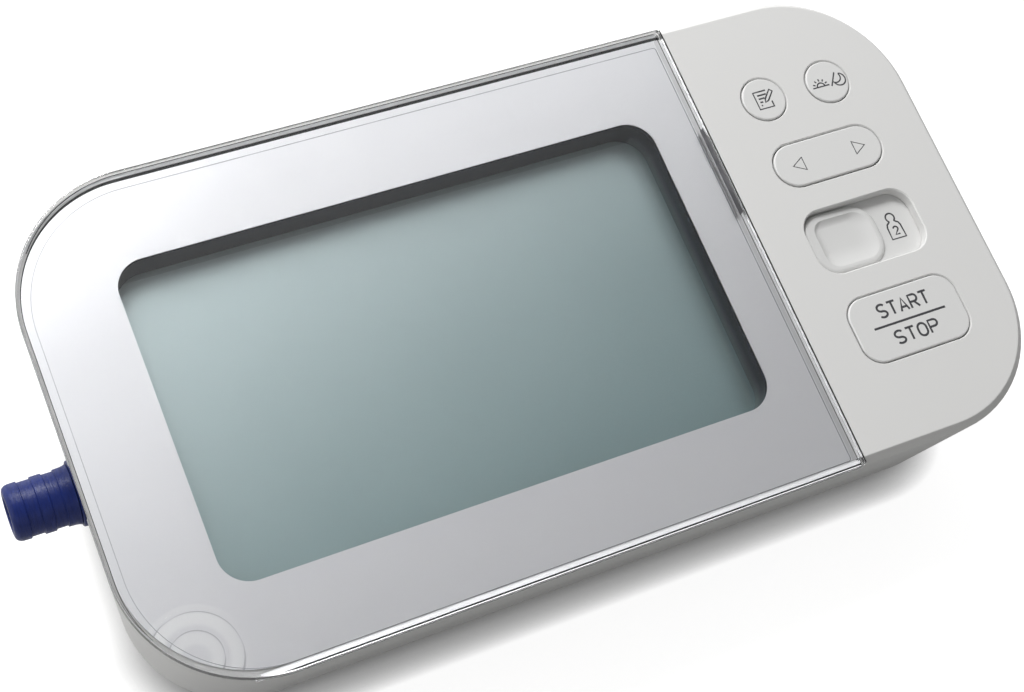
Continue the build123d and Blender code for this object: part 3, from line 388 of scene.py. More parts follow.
def named(name):
    """The object that an operator has just made, named."""
    piece = bpy.context.object
    piece.name = name
    piece.data.name = name
    return piece


def use(piece):
    """Makes one object the only one that operators act on."""
    deselect()
    piece.select_set(True)
    bpy.context.view_layer.objects.active = piece


def modify(piece, kind, **settings):
    """Adds a modifier and applies it."""
    use(piece)
    modifier = piece.modifiers.new(kind.title(), kind)
    for name, value in settings.items():
        setattr(modifier, name, value)
    bpy.ops.object.modifier_apply(modifier=modifier.name)
    return piece


def carve(piece, other, operation):
    """Cuts, joins or intersects a piece with another, which goes."""
    modify(piece, "BOOLEAN", object=other, operation=operation, solver="EXACT")
    bpy.data.objects.remove(other)
    return piece


def settle(piece, place):
    """Carries a piece into a frame, such as the face's, and moves its place into its mesh."""
    use(piece)
    piece.matrix_world = place @ piece.matrix_world
    bpy.ops.object.transform_apply(location=True, rotation=True, scale=True)
    return piece


def dress(piece, body, material, replaces=()):
    """Finishes a new piece: its material, its body and the nodes that it stands for."""
    piece.data.materials.clear()
    piece.data.materials.append(material)
    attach(piece, body)
    if replaces:
        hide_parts(*replaces)
    return piece


def pick(piece, kind, wanted):
    """Selects the faces, edges or vertices that a test wants, and leaves the piece in edit mode."""
    use(piece)
    bpy.ops.object.mode_set(mode="EDIT")
    bpy.ops.mesh.select_mode(type={"polygons": "FACE", "edges": "EDGE", "vertices": "VERT"}[kind])
    bpy.ops.mesh.select_all(action="DESELECT")
    bpy.ops.object.mode_set(mode="OBJECT")
    for element in getattr(piece.data, kind):
        element.select = wanted(element)
    bpy.ops.object.mode_set(mode="EDIT")


def done(piece):
    bpy.ops.object.mode_set(mode="OBJECT")
    return piece


def weld(piece):
    """Merges vertices that fall together, so that no empty faces are left."""
    use(piece)
    bpy.ops.object.mode_set(mode="EDIT")
    bpy.ops.mesh.select_all(action="SELECT")
    bpy.ops.mesh.remove_doubles(threshold=1e-6)
    return done(piece)


def smooth(piece, angle=40):
    """Smooth shading over gentle bends, with the flat faces kept flat."""
    use(weld(piece))
    bpy.ops.object.shade_smooth_by_angle(angle=radians(angle))
    return modify(piece, "WEIGHTED_NORMAL", keep_sharp=True)


def at_height(piece, height):
    """A test for the edges or faces of a flat-lying piece that are at one height, in millimetres."""
    places = [vertex.co.z for vertex in piece.data.vertices]
    return lambda element: all(abs(places[i] - height * MM) < 1e-6 for i in element.vertices)


def rounded_plate(name, left, right, low, high, corners, top, segments=12):
    """A flat face with round corners: corners holds the left ones' radius and the right ones'."""
    deselect()
    middle = (left + right) / 2 * MM
    bpy.ops.mesh.primitive_plane_add(size=MM, location=(middle, (low + high) / 2 * MM, top * MM))
    piece = named(name)
    piece.scale = (right - left, high - low, 1)
    bpy.ops.object.transform_apply(location=True, scale=True)
    for side, radius in zip((-1, 1), corners):
        pick(piece, "vertices", lambda vertex: (vertex.co.x - middle) * side > 0)
        bpy.ops.mesh.bevel(offset=radius * MM, segments=segments, affect="VERTICES")
        done(piece)
    return piece


def thicken(piece, thickness):
    """Gives a flat face a thickness downwards."""
    return modify(piece, "SOLIDIFY", thickness=thickness * MM, offset=-1)


def round_edges(piece, height, radius, segments=4):
    pick(piece, "edges", at_height(piece, height))
    bpy.ops.mesh.bevel(offset=radius * MM, segments=segments, affect="EDGES")
    return done(piece)


def join(piece, *others):
    use(piece)
    for other in others:
        other.select_set(True)
    bpy.ops.object.join()
    return piece


def turned(name, profile, steps=72):
    """A closed profile of (along, radius) points turned round the x axis."""
    deselect()
    bpy.ops.mesh.primitive_plane_add(size=MM)
    piece = named(name)
    bpy.ops.object.mode_set(mode="EDIT")
    bpy.ops.mesh.merge(type="CENTER")
    x, radius = profile[0]
    bpy.ops.transform.translate(value=(x * MM, 0, radius * MM))
    for (x0, r0), (x1, r1) in zip(profile, profile[1:]):
        bpy.ops.mesh.extrude_vertices_move(
            TRANSFORM_OT_translate={"value": ((x1 - x0) * MM, 0, (r1 - r0) * MM)}
        )
    bpy.ops.mesh.select_all(action="SELECT")
    bpy.ops.mesh.spin(steps=steps, angle=2 * pi, center=(0, 0, 0), axis=(1, 0, 0))
    bpy.ops.mesh.select_all(action="SELECT")
    bpy.ops.mesh.remove_doubles(threshold=1e-6)
    bpy.ops.mesh.normals_make_consistent(inside=False)
    return done(piece)


# ---- signs printed on the keys ---------------------------------------------------------------------

# Thickness of the ink, in millimetres.
INK_THICK = 0.02


def arc(middle, radius, start, end, steps=12):
    """Points along an arc, angles in degrees. radius is one number or one for each axis."""
    across, up = radius if isinstance(radius, tuple) else (radius, radius)
    points = []
    for i in range(steps + 1):
        angle = radians(start + (end - start) * i / steps)
        points.append((middle[0] + across * cos(angle), middle[1] + up * sin(angle)))
    return points


def letter_s(w):
    top = arc((w / 2, 0.735), (w / 2, 0.265), 35, 270, 14)
    return [top + arc((w / 2, 0.235), (w / 2, 0.235), 90, -145, 14)[1:]]


def letter_o(w):
    half = w / 2
    return [arc((half, 1 - half), half, 0, 180) + arc((half, half), half, 180, 360) + [(w, 1 - half)]]


def letter_p(w):
    bowl = [(0, 0), (0, 1), (w * 0.52, 1)] + arc((w * 0.62, 0.735), (w * 0.38, 0.265), 90, -90) + [(0, 0.47)]
    return [bowl]


def letter_r(w):
    return letter_p(w) + [[(w * 0.5, 0.47), (w, 0)]]


def letter_a(w):
    return [[(0, 0), (w / 2, 1), (w, 0)], [(w * 0.17, 0.3), (w * 0.83, 0.3)]]


def letter_t(w):
    return [[(0, 1), (w, 1)], [(w / 2, 1), (w / 2, 0)]]


LETTERS = {"S": letter_s, "O": letter_o, "P": letter_p, "R": letter_r, "A": letter_a, "T": letter_t}


def word(text, left, right, base, height):
    """The strokes of a word, its letters spread evenly from left to right."""
    share = 0.72
    pitch = (right - left) / (len(text) - 1 + share)
    width = pitch * share
    strokes = []
    for i, letter in enumerate(text):
        x = left + i * pitch
        for stroke in LETTERS[letter](width / height):
            strokes.append([(x + px * height, base + py * height) for px, py in stroke])
    return strokes


def closed(points):
    return points + [points[0]]


def shifted(points, x, y):
    return [(x + across, y + up) for across, up in points]


def sign_of_notes(x, y):
    """A page with lines of writing and a pencil across its corner."""
    page = [(1.1, 2.0), (-1.9, 2.0), (-1.9, -2.0), (1.5, -2.0), (1.5, -0.7)]
    pencil = closed([(0.0, -0.7), (0.25, 0.1), (2.0, 1.95), (2.55, 1.4), (0.8, -0.45)])
    ends = ((1.15, 0.9), (0.35, 0.2), (-0.45, -0.5), (-1.2, -0.9))
    lines = [[(-1.2, up), (end, up)] for up, end in ends]
    return [shifted(stroke, x, y) for stroke in (page, pencil, *lines)]


def sign_of_day_and_night(x, y):
    """A half sun on the horizon, a slash and a crescent moon."""
    sun = (x - 1.9, y - 0.8)
    strokes = [[(sun[0] - 2.0, sun[1]), (sun[0] + 2.0, sun[1])], arc(sun, 0.9, 0, 180)]
    for angle in (25, 57, 90, 123, 155):
        way = (cos(radians(angle)), sin(radians(angle)))
        strokes.append([(sun[0] + r * way[0], sun[1] + r * way[1]) for r in (1.3, 1.85)])
    strokes.append([(x + 0.5, y - 1.3), (x + 2.4, y + 1.6)])
    moon = (x + 2.8, y - 0.2)
    outer = arc(moon, 1.45, -170, 70, 18)
    inner = arc((moon[0] - 0.75, moon[1] + 0.65), 1.25, 25, -125, 14)
    strokes.append(closed(outer + inner))
    return strokes


def sign_of_arrow(x, y, way):
    """An outlined triangle that points left or right."""
    return [closed([(x + way * 1.35, y), (x - way * 1.25, y + 1.5), (x - way * 1.25, y - 1.5)])]


def sign_of_person(x, y):
    """A head and shoulders with the number of user 2 on the chest."""
    head = (x, y + 2.36)
    outline = arc(head, 1.0, -52, 232, 20)
    body = [(-0.62, 1.5), (-0.95, 1.25), (-1.33, 1.0), (-1.6, 0.35), (-1.7, -2.38),
            (1.68, -2.44), (1.58, 0.35), (1.33, 1.0), (0.95, 1.25), (0.62, 1.5)]
    digit = (x + 0.08, y - 0.62)
    two = arc((digit[0], digit[1] + 0.36), 0.52, 165, -35, 10)
    two += [(digit[0] - 0.52, digit[1] - 0.9), (digit[0] + 0.56, digit[1] - 0.9)]
    return [closed(outline + shifted(body, x, y)), two]


def printed(name, strokes, width, lift):
    """Flat printed strokes, lifted a hair off the surface that carries them."""
    drawing = bpy.data.curves.new(name, "CURVE")
    drawing.dimensions = "3D"
    drawing.bevel_depth = width / 2
    drawing.bevel_resolution = 1
    drawing.use_fill_caps = True
    for stroke in strokes:
        is_closed = hypot(stroke[0][0] - stroke[-1][0], stroke[0][1] - stroke[-1][1]) < 1e-6
        points = stroke[:-1] if is_closed else stroke
        spline = drawing.splines.new("POLY")
        spline.points.add(len(points) - 1)
        for point, (x, y) in zip(spline.points, points):
            point.co = (x * MM, y * MM, 0, 1)
        spline.use_cyclic_u = is_closed
        spline.use_smooth = False
    piece = bpy.data.objects.new(name, drawing)
    bpy.context.scene.collection.objects.link(piece)
    use(piece)
    bpy.ops.object.convert(target="MESH")
    piece = named(name)
    piece.scale.z = INK_THICK * MM / width
    piece.location.z = lift
    return settle(piece, FACE)


# ---- settings --------------------------------------------------------------------------------------


def colour_setting(name, description, default):
    return FloatVectorProperty(name=name, description=description, default=default, subtype="COLOR",
                               size=3, min=0.0, max=1.0)


def length_setting(name, description, default):
    return FloatProperty(name=name, description=description, default=default, unit="LENGTH",
                         min=0.0, precision=5)


def strength_setting(name, description, default, unit="NONE"):
    return FloatProperty(name=name, description=description, default=default, unit=unit, min=0.0)


class ConsoleColours(PropertyGroup):
    case: colour_setting("Case", "Moulded white of the two shells", (0.71, 0.708, 0.698))
    keys: colour_setting("Keys", "Moulded white of the keys", (0.70, 0.70, 0.692))
    silver: colour_setting("Silver", "Silver print under the lens", (0.86, 0.86, 0.88))
    # The display's two colours are the two ends of a painted light falloff across the panel.
    display: colour_setting("Display", "Display panel at its paler corner", (0.53, 0.62, 0.625))
    display_painted_shade: colour_setting("Display, darker", "Display panel at its darker corner", (0.22, 0.325, 0.33))
    plug: colour_setting("Air plug", "Blue of the air plug", (0.009, 0.023, 0.16))
    ink: colour_setting("Ink", "Ink of the printed signs", (0.055, 0.055, 0.06))


class ConsoleSizes(PropertyGroup):
    lens_edge: length_setting("Lens edge", "Rounding of the lens's upper edge", 0.3 * MM)
    stroke: length_setting("Sign stroke", "Width of the lines of the signs", 0.37 * MM)
    lettering: length_setting("Letter stroke", "Width of the lines of the lettering", 0.48 * MM)
    print_lift: length_setting("Print lift", "How far the print stands off its key", 0.006 * MM)


class ConsoleStage(PropertyGroup):
    sky: strength_setting("Sky", "Strength of the even light from all round", 0.26)
    side: strength_setting("Side light", "Strength of the sky to the left and behind", 0.95)
    left: strength_setting("Left light", "Strength of the low light on the left", 1.0)
    glow: strength_setting("Glow", "Brightness that clear pieces gather from overhead", 0.76)
    most: strength_setting("Most", "Greatest strength of the sky for gloss and clear pieces", 1.35)
    through: strength_setting("Through the lens", "Gain of the sky as seen through clear pieces", 1.4)
    key: strength_setting("Key light", "Power of the large lamp", 4.15, unit="POWER")
    floor: length_setting("Floor", "Side of the floor", 6.0)
    floor_colour: colour_setting("Floor colour", "Colour of the floor", (0.32, 0.32, 0.315))
    floor_glow: strength_setting("Floor glow", "Whitening of the floor as seen", 0.9)
    contact: length_setting("Contact shade", "How far the shade round the feet reaches", 0.008)


# ---- operators -------------------------------------------------------------------------------------


class CONSOLE_OT_stage(Operator):
    """Lay the floor, hang the lamp, and set the sky and the camera"""

    bl_idname = "console.stage"
    bl_label = "Stage"

    # Where the camera stands and looks, in the face's frame.
    EYE = Vector((-107.87, -105.23, 323.93)) * MM
    RIGHT = Vector((0.90080, -0.37913, 0.21168))
    DOWN = Vector((-0.28332, -0.88261, -0.37513))
    FORWARD = Vector((0.32906, 0.27794, -0.90248))
    FOCAL_PIXELS = 1880.9
    FRAME_PIXELS = 1024
    LAMP_PLACE = Vector((-0.08, 0.18, 0.71))
    LAMP_SIZE = 0.25
    FLOOR_IN_GLOSS = 0.25
    GLOW_BEHIND = 0.4

    def execute(self, context):
        settings = context.scene.console_stage
        self.floor(settings)
        self.sky(context, settings)
        self.lamp("key_lamp", settings.key)
        self.camera(context)
        return {"FINISHED"}

    def floor(self, settings):
        deselect()
        bpy.ops.mesh.primitive_plane_add(size=settings.floor)
        floor = named("floor")
        paper = Finish("floor_paper", settings.floor_colour, Roughness=0.9, Specular_IOR_Level=0.1)
        # Painted contact shadow: the floor's glow fades where ambient occlusion finds the object close by.
        painted_contact_shade = paper.node("ShaderNodeAmbientOcclusion", {"samples": 12}, {"Distance": settings.contact}, "AO")
        seen = paper.rays("Camera") * painted_contact_shade ** 1.5 * settings.floor_glow
        seen = seen + paper.rays("Glossy", "Transmission") * self.FLOOR_IN_GLOSS
        glow = paper.node("ShaderNodeEmission", None, {"Color": (1, 1, 1, 1), "Strength": seen})
        both = paper.node("ShaderNodeAddShader", None, {0: Wire(paper, paper.shader.outputs[0]), 1: glow})
        paper.feed(paper.nodes["Material Output"].inputs["Surface"], both)
        floor.data.materials.append(paper.material)

    def sky(self, context, settings):
        """White to the camera. As a light it is even, and stronger to the left and behind. Gloss sees a haze
        too, and clear pieces see a glow from overhead, both up to a greatest strength."""
        world = bpy.data.worlds.new("soft_sky")
        context.scene.world = world
        sky = NodeTree(world)
        way = sky.node("ShaderNodeTexCoord", output="Generated")
        x, y, z = [sky.node("ShaderNodeSeparateXYZ", None, {0: way}, i) for i in range(3)]
        away = y * 0.92 - x * 0.38
        left = (0 - x).above(0.55, 0.3) * (1 - z.above(0.25, 0.3))
        lit = away.above(0.2, 0.5) * settings.side + left * settings.left + settings.sky
        haze = (1 - z.above(0.3, 0.5)) * (1 - settings.sky)
        glow = away.above(-0.262, 0.12) * settings.glow + away.above(-0.14, 0.12) * self.GLOW_BEHIND
        gathered = (lit * settings.through + glow).maths("MINIMUM", settings.most)
        shades = []
        for strength in (lit, (lit + haze).maths("MINIMUM", settings.most), gathered, 1.0):
            inputs = {"Color": (1, 1, 1, 1), "Strength": strength}
            shades.append(sky.node("ShaderNodeBackground", None, inputs))
        lighting, gloss, through, white = shades
        seen = sky.blend(sky.rays("Glossy"), lighting, gloss)
        seen = sky.blend(sky.rays("Transmission"), seen, through)
        sky.feed(sky.nodes["World Output"].inputs["Surface"], sky.blend(sky.rays("Camera"), seen, white))

    def lamp(self, name, power):
        """A square lamp at a place measured from the display, turned towards it."""
        lamp = bpy.data.lights.new(name, "AREA")
        lamp.energy = power
        lamp.size = self.LAMP_SIZE
        holder = bpy.data.objects.new(name, lamp)
        bpy.context.scene.collection.objects.link(holder)
        spot = FACE_MIDDLE + self.LAMP_PLACE
        holder.location = spot
        holder.rotation_mode = "QUATERNION"
        holder.rotation_quaternion = (FACE_MIDDLE - spot).to_track_quat("-Z", "Y")

    def camera(self, context):
        lens = bpy.data.cameras.new("camera")
        lens.sensor_width = 36.0
        lens.lens = self.FOCAL_PIXELS / self.FRAME_PIXELS * lens.sensor_width
        lens.clip_start = 0.01
        lens.clip_end = 50.0
        camera = bpy.data.objects.new("camera", lens)
        context.scene.collection.objects.link(camera)
        turn = Matrix((self.RIGHT, -self.DOWN, -self.FORWARD)).transposed()
        camera.matrix_world = FACE @ Matrix.Translation(self.EYE) @ turn.to_4x4()
        context.scene.camera = camera
        context.scene.view_settings.view_transform = "Standard"


class CONSOLE_OT_case(Operator):
    """Finish the shells, the battery door, the feet and the case screws"""

    bl_idname = "console.case"
    bl_label = "Case"

    def execute(self, context):
        colours = context.scene.console_colours
        white = moulded_plastic("case_white", colours.case)
        for node in ("upper_case", "lower_case", "battery_cover"):
            wear(node, white)
        wear("rubber_feet", soft_rubber("foot_rubber", (0.05, 0.05, 0.052)))
        wear("case_screws", satin_metal("screw_steel", (0.55, 0.55, 0.56)))
        return {"FINISHED"}


class CONSOLE_OT_lens(Operator):
    """Model the clear lens with its gate slot and flow rings, and the lines, rims and bevels under it, some
    of which are painted shade and painted light along its edges
    """

    bl_idname = "console.lens"
    bl_label = "Lens"

    LEFT, RIGHT, LOW, HIGH = -75.05, 68.1, -49.95, 51.25
    CORNER, RIGHT_CORNER = 25.95, 0.7
    CORNER_STEPS = 28
    THICK = 2.17
    UNDERSIDE = -2.185
    # The gate slot: left, right, low and high edges, how far its right side is slid up, and its heights.
    SLOT = (66.6, 67.5, 6.5, 26.5)
    SLOT_SLANT = 0.5
    SLOT_TOP, SLOT_BOTTOM = -0.04, -0.15
    # The flow rings' radii, height and half width, and how deep they are set into the lens.
    RIPPLES = (5.1, 8.4)
    RIPPLE_HEIGHT = 0.03
    RIPPLE_HALF = 0.3
    RIPPLE_FOOT = -0.1
    # Outlines under the lens: left, right, low and high edges, the left corners' radius, the line's width and
    # how far its inner side is shifted.
    # Painted shade: DARK_LINE is a black line that stands for the shade in the gap round the lens's edge.
    DARK_LINE = ((-74.25, 67.9, -49.58, 50.05), 24.9, 0.52, (-0.4, -0.12))
    # Painted light: this band under the lens's edge stands in for the light that the edge catches.
    PALE_RIM = ((-74.9, 67.6, -49.4, 50.9), 25.6, 0.7, (-0.6, -0.05))
    TOP_LINE = ((-74.2, 67.9, -48.6, 50.96), 25.2, 0.2, (0.04, 0.07))
    PRINT_EDGE = ((-72.6, 66.2, -48.15, 47.88), 23.5, 0.13, (-0.05, 0))
    # Straight lines beside the lens, and tilted strips under its edges in lit and shaded copies of the
    # silver, which are painted light and painted shade: left, right, low and high edges.
    RIGHT_LINE = (67.36, 67.54, -48.9, 50.3)
    # Painted shade: GAP_LINE is a black strip in the gap beside the lens, standing for the shade in it.
    GAP_LINE = (68.13, 68.32, -49.6, 50.9)
    LOW_BEVEL = (-57.0, 67.7, -49.22, -48.25)
    RIGHT_BEVEL = (66.4, 68.05, -48.2, 49.35)
    TOP_BEVEL = (-48.0, 67.6, 50.2, 50.82)

    def execute(self, context):
        clear = clear_acrylic("clear_acrylic", (0.99, 0.995, 1.0))
        dress(self.lens(context.scene.console_sizes), "console", clear, ["display_lens"])
        # Black strips under and beside the lens: lens_line and gap_line are painted shade in the gaps round
        # it; top_line and right_line are thin dark lines.
        dark = soft_rubber("seal_black", (0.006, 0.006, 0.007), gloss=0.1, dusty=0.0)
        # Painted light: a whiter copy of the silver print for the band and strips where the lens's edge
        # catches light.
        lit_silver = silver_print("rim_silver", (0.98, 0.98, 0.99))
        # Painted shade: a darker copy of the silver print for the strip under the lens's right edge.
        shaded_silver = silver_print("side_silver", (0.70, 0.70, 0.71))
        # Painted shade: dark grey for the block that darkens the gate slot.
        grey = soft_rubber("slot_grey", (0.075, 0.075, 0.08))
        edge = soft_rubber("print_edge_grey", (0.25, 0.25, 0.27))
        pieces = (
            (self.ring("lens_line", *self.DARK_LINE), dark, "black_rubber"),
            (self.ring("pale_rim", *self.PALE_RIM, above=0.0, drop=0.006), lit_silver, "mask_silver"),
            (self.bevel("low_bevel", self.LOW_BEVEL, (0, -1), 0.08, -0.004), lit_silver, "mask_silver"),
            (self.bevel("right_bevel", self.RIGHT_BEVEL, (1, 0), 0.01, 0.01), shaded_silver, "mask_silver"),
            (self.bevel("top_bevel", self.TOP_BEVEL, (0, -1), 0.07, -0.004), lit_silver, "mask_silver"),
            (self.ring("top_line", *self.TOP_LINE, above=40.0), dark, "black_rubber"),
            (self.strip("right_line", self.RIGHT_LINE, self.UNDERSIDE + 0.03, 0.008), dark, "black_rubber"),
            (self.strip("gap_line", self.GAP_LINE, -0.2, 0.3), dark, "black_rubber"),
            (self.slot_fill(), grey, "black_rubber"),
            (self.ring("print_edge", *self.PRINT_EDGE), edge, "tape_grey"),
        )
        for piece, material, slot in pieces:
            dress(piece, "console", material)
        wear("lens_mask", silver_print("silver_print", context.scene.console_colours.silver))
        wear("lens_tape", moulded_plastic("lens_tape", (0.32, 0.33, 0.35), roughness=0.6))
        return {"FINISHED"}

    def lens(self, sizes):
        lens = thicken(self.outline("clear_lens", 0, 0), self.THICK)
        round_edges(lens, 0, sizes.lens_edge / MM, 8)
        carve(lens, self.slot_block("slot_cutter", 1, self.SLOT_BOTTOM), "DIFFERENCE")
        carve(lens, self.ripples(sizes), "UNION")
        return settle(smooth(lens, 15), FACE)

    def outline(self, name, inset, top):
        """A flat face in the lens's outline, brought in by an inset."""
        edges = (self.LEFT + inset, self.RIGHT - inset, self.LOW + inset, self.HIGH - inset)
        corners = (self.CORNER - inset, self.RIGHT_CORNER)
        return rounded_plate(name, *edges, corners, top, self.CORNER_STEPS)

    def ripples(self, sizes):
        """The mould's flow rings round the lens's gate: low ridges that end where the lens's edge rounds."""
        ridges = []
        for radius in self.RIPPLES:
            low, high = radius - self.RIPPLE_HALF, radius + self.RIPPLE_HALF
            crest = arc((radius, 0), (self.RIPPLE_HALF, self.RIPPLE_HEIGHT), 180, 0)
            foot = [(self.RIPPLE_FOOT, high), (self.RIPPLE_FOOT, low)]
            ridges.append(turned("ripples", [foot[1], *[(up, out) for out, up in crest], *foot], 120))
        upright = Matrix.Translation((GATE[0] * MM, GATE[1] * MM, 0)) @ Matrix.Rotation(radians(-90), 4, "Y")
        ridges = settle(join(*ridges), upright)
        flat = thicken(self.outline("flat_part", sizes.lens_edge / MM + 0.1, 1), 3)
        return carve(ridges, flat, "INTERSECT")

    def slot_block(self, name, top, bottom, grow=0.0):
        """The gate slot as a block with slanted ends."""
        x0, x1, y0, y1 = self.SLOT
        block = rounded_plate(name, x0 - grow, x1 + grow, y0 - grow, y1 + grow, (0.1, 0.1), top, 2)
        middle = (x0 + x1) / 2 * MM
        pick(block, "vertices", lambda vertex: vertex.co.x > middle)
        bpy.ops.transform.translate(value=(0, self.SLOT_SLANT * MM, 0))
        return thicken(done(block), top - bottom)

    def slot_fill(self):
        """A dark grey block in the gate slot, a hair below the lens's face: painted shade for the slot's
        depth.
        """
        fill = self.slot_block("slot_fill", self.SLOT_TOP, self.SLOT_BOTTOM - 0.02, 0.02)
        return settle(smooth(fill), FACE)

    def strip(self, name, edges, top, thickness):
        """A straight line along the lens's right side."""
        return settle(smooth(thicken(rounded_plate(name, *edges, (0.05, 0.05), top, 2), thickness)), FACE)

    def bevel(self, name, edges, side, lift, rise):
        """A straight band near the lens's underside with one side lifted; side is the way towards it."""
        band = rounded_plate(name, *edges, (0.3, 0.3), self.UNDERSIDE + rise, 2)
        middle = Vector(((edges[0] + edges[1]) / 2, (edges[2] + edges[3]) / 2)) * MM
        pick(band, "vertices", lambda vertex: (vertex.co.xy - middle).dot(side) > 0)
        bpy.ops.transform.translate(value=(0, 0, lift * MM))
        return settle(smooth(thicken(done(band), 0.01)), FACE)

    def ring(self, name, edges, corner, width, shift=(0, 0), above=None, drop=0.0):
        """A flat line under the lens along an outline, or along the part of it above a height."""
        corners = (corner, self.RIGHT_CORNER)
        ring = rounded_plate(name, *edges, corners, self.UNDERSIDE - drop, self.CORNER_STEPS)
        pick(ring, "polygons", lambda face: True)
        bpy.ops.mesh.inset(thickness=width * MM)
        bpy.ops.transform.translate(value=(shift[0] * MM, shift[1] * MM, 0))
        bpy.ops.mesh.delete(type="FACE")
        if above is not None:
            bpy.ops.mesh.select_all(action="SELECT")
            bpy.ops.mesh.bisect(plane_co=(0, above * MM, 0), plane_no=(0, -1, 0), clear_outer=True)
        return settle(smooth(thicken(done(ring), 0.015 - drop)), FACE)


class CONSOLE_OT_display(Operator):
    """Finish the display panel and its dark surround"""

    bl_idname = "console.display"
    bl_label = "Display"

    def execute(self, context):
        colours = context.scene.console_colours
        wear("lcd_panel", display_glass("display_glass", colours.display, colours.display_painted_shade))
        wear("display_frame", dark_surround("surround_black", (0.010, 0.013, 0.022)))
        return {"FINISHED"}


class CONSOLE_OT_keys(Operator):
    """Finish the keys and the rocker, and model the user slider with its thumb dish"""

    bl_idname = "console.keys"
    bl_label = "Keys"

    PLATE = (69.4, 104.4, -12.5, 3.3)
    PLATE_TOP = SLIDER_FLOOR
    PLATE_THICK = 1.3
    PAD = (78.6, 95.6, -11.4, 2.35)
    PAD_FOOT = -2.0
    # The shoulder's width and rise, and how many steps it is rounded in.
    PAD_SHOULDER = (1.1, 0.8)
    SHOULDER_STEPS = 8
    PAD_TILT = radians(2.5)
    # How far each step of the dish falls, how wide the steps are, and how far each is shifted.
    DISH_WALLS = (0.16, 0.15, 0.13, 0.11, 0.08, 0.06, 0.03, 0.01)
    DISH_STEP = 0.37
    DISH_DRIFT = (-0.16, 0.16)
    # Each prong's left and right sides, and the low and high sides of both.
    FORK = ((84.8, 86.0), (88.0, 89.2))
    FORK_SIDES = (-6.1, -3.1)
    FORK_BOTTOM = -6.9

    def execute(self, context):
        colour = context.scene.console_colours.keys
        satin = moulded_plastic("key_white", colour, grain=0.3 * MM, depth=0.008 * MM)
        for node in ("memory_key", "average_key", "arrow_rocker", "start_key"):
            wear(node, satin)
        gloss = moulded_plastic("slider_white", colour, grain=0.4 * MM, depth=0.004 * MM, roughness=0.26)
        dress(self.slider(), "user_switch", gloss, ["user_slider"])
        return {"FINISHED"}

    def slider(self):
        plate = rounded_plate("thumb_slider", *self.PLATE, (0.8, 0.8), self.PLATE_TOP, 3)
        thicken(plate, self.PLATE_THICK)
        pad = self.pad()
        top = self.PLATE_TOP - self.PLATE_THICK + 0.1
        prongs = []
        for sides in self.FORK:
            prong = rounded_plate("prong", *sides, *self.FORK_SIDES, (0.3, 0.3), top, 3)
            prongs.append(thicken(prong, top - self.FORK_BOTTOM))
        return settle(smooth(join(plate, pad, *prongs), 15), FACE)

    def pad(self):
        """A raised pad with a broad round shoulder. Its dish is steep at the top left and runs out low."""
        pad = rounded_plate("pad", *self.PAD, (4.35, 5.2), self.PAD_FOOT, 10)
        thicken(pad, self.PAD_FOOT - self.PLATE_TOP + 0.5)
        pick(pad, "polygons", at_height(pad, self.PAD_FOOT))
        width, rise = self.PAD_SHOULDER
        steps = self.SHOULDER_STEPS
        for i in range(steps):
            start, end = i / steps * pi / 2, (i + 1) / steps * pi / 2
            inwards = width * (cos(start) - cos(end))
            upwards = rise * (sin(end) - sin(start))
            bpy.ops.mesh.inset(thickness=inwards * MM, depth=upwards * MM)
        bpy.ops.mesh.inset(thickness=0.2 * MM)
        middle = ((self.PAD[0] + self.PAD[1]) / 2 * MM, (self.PAD[2] + self.PAD[3]) / 2 * MM, 0)
        bpy.ops.transform.resize(value=(0.92, 0.96, 1), center_override=middle)
        bpy.ops.transform.translate(value=(0.35 * MM, -0.1 * MM, 0))
        for fall in self.DISH_WALLS:
            bpy.ops.mesh.inset(thickness=self.DISH_STEP * MM, depth=-fall * MM)
            bpy.ops.transform.translate(value=(self.DISH_DRIFT[0] * MM, self.DISH_DRIFT[1] * MM, 0))
        done(pad)
        pick(pad, "vertices", lambda vertex: vertex.co.z > self.PLATE_TOP * MM)
        hinge = (self.PAD[0] * MM, 0, self.PAD_FOOT * MM)
        bpy.ops.transform.rotate(value=-self.PAD_TILT, orient_axis="Y", center_override=hinge)
        return done(pad)


class CONSOLE_OT_signs(Operator):
    """Print the signs and the lettering on the keys"""

    bl_idname = "console.signs"
    bl_label = "Signs"

    def execute(self, context):
        sizes = context.scene.console_sizes
        ink = printed_ink("sign_ink", context.scene.console_colours.ink)
        memory = (face_x("memory_key") / MM, 29.3)
        average = (face_x("average_key") / MM, 29.4)
        start_x = face_x("start_key") / MM
        sunk = SLIDER_FLOOR * MM + sizes.print_lift
        proud = KEY_FACE * MM + sizes.print_lift
        signs = [
            ("memory_sign", "memory_button", sign_of_notes(*memory), sizes.stroke, proud),
            ("average_sign", "average_button", sign_of_day_and_night(*average), sizes.stroke * 0.85, proud),
            ("arrow_signs", "arrow_button", sign_of_arrow(83.85, 13.2, -1) + sign_of_arrow(98.65, 13.4, 1),
             sizes.stroke, proud),
            ("user_sign", "user_switch", sign_of_person(99.2, -5.1), sizes.stroke, sunk),
            ("start_word", "start_button", word("START", 85.2, 97.2, -23.3, 2.8), sizes.lettering, proud),
            ("stop_word", "start_button", word("STOP", 86.3, 96.4, -29.5, 2.7), sizes.lettering, proud),
            ("dividing_line", "start_button", [[(start_x - 8.5, -25.1), (start_x + 8.6, -25.1)]],
             sizes.lettering, proud),
        ]
        for name, body, strokes, width, lift in signs:
            dress(printed(name, strokes, width, lift), body, ink)
        return {"FINISHED"}


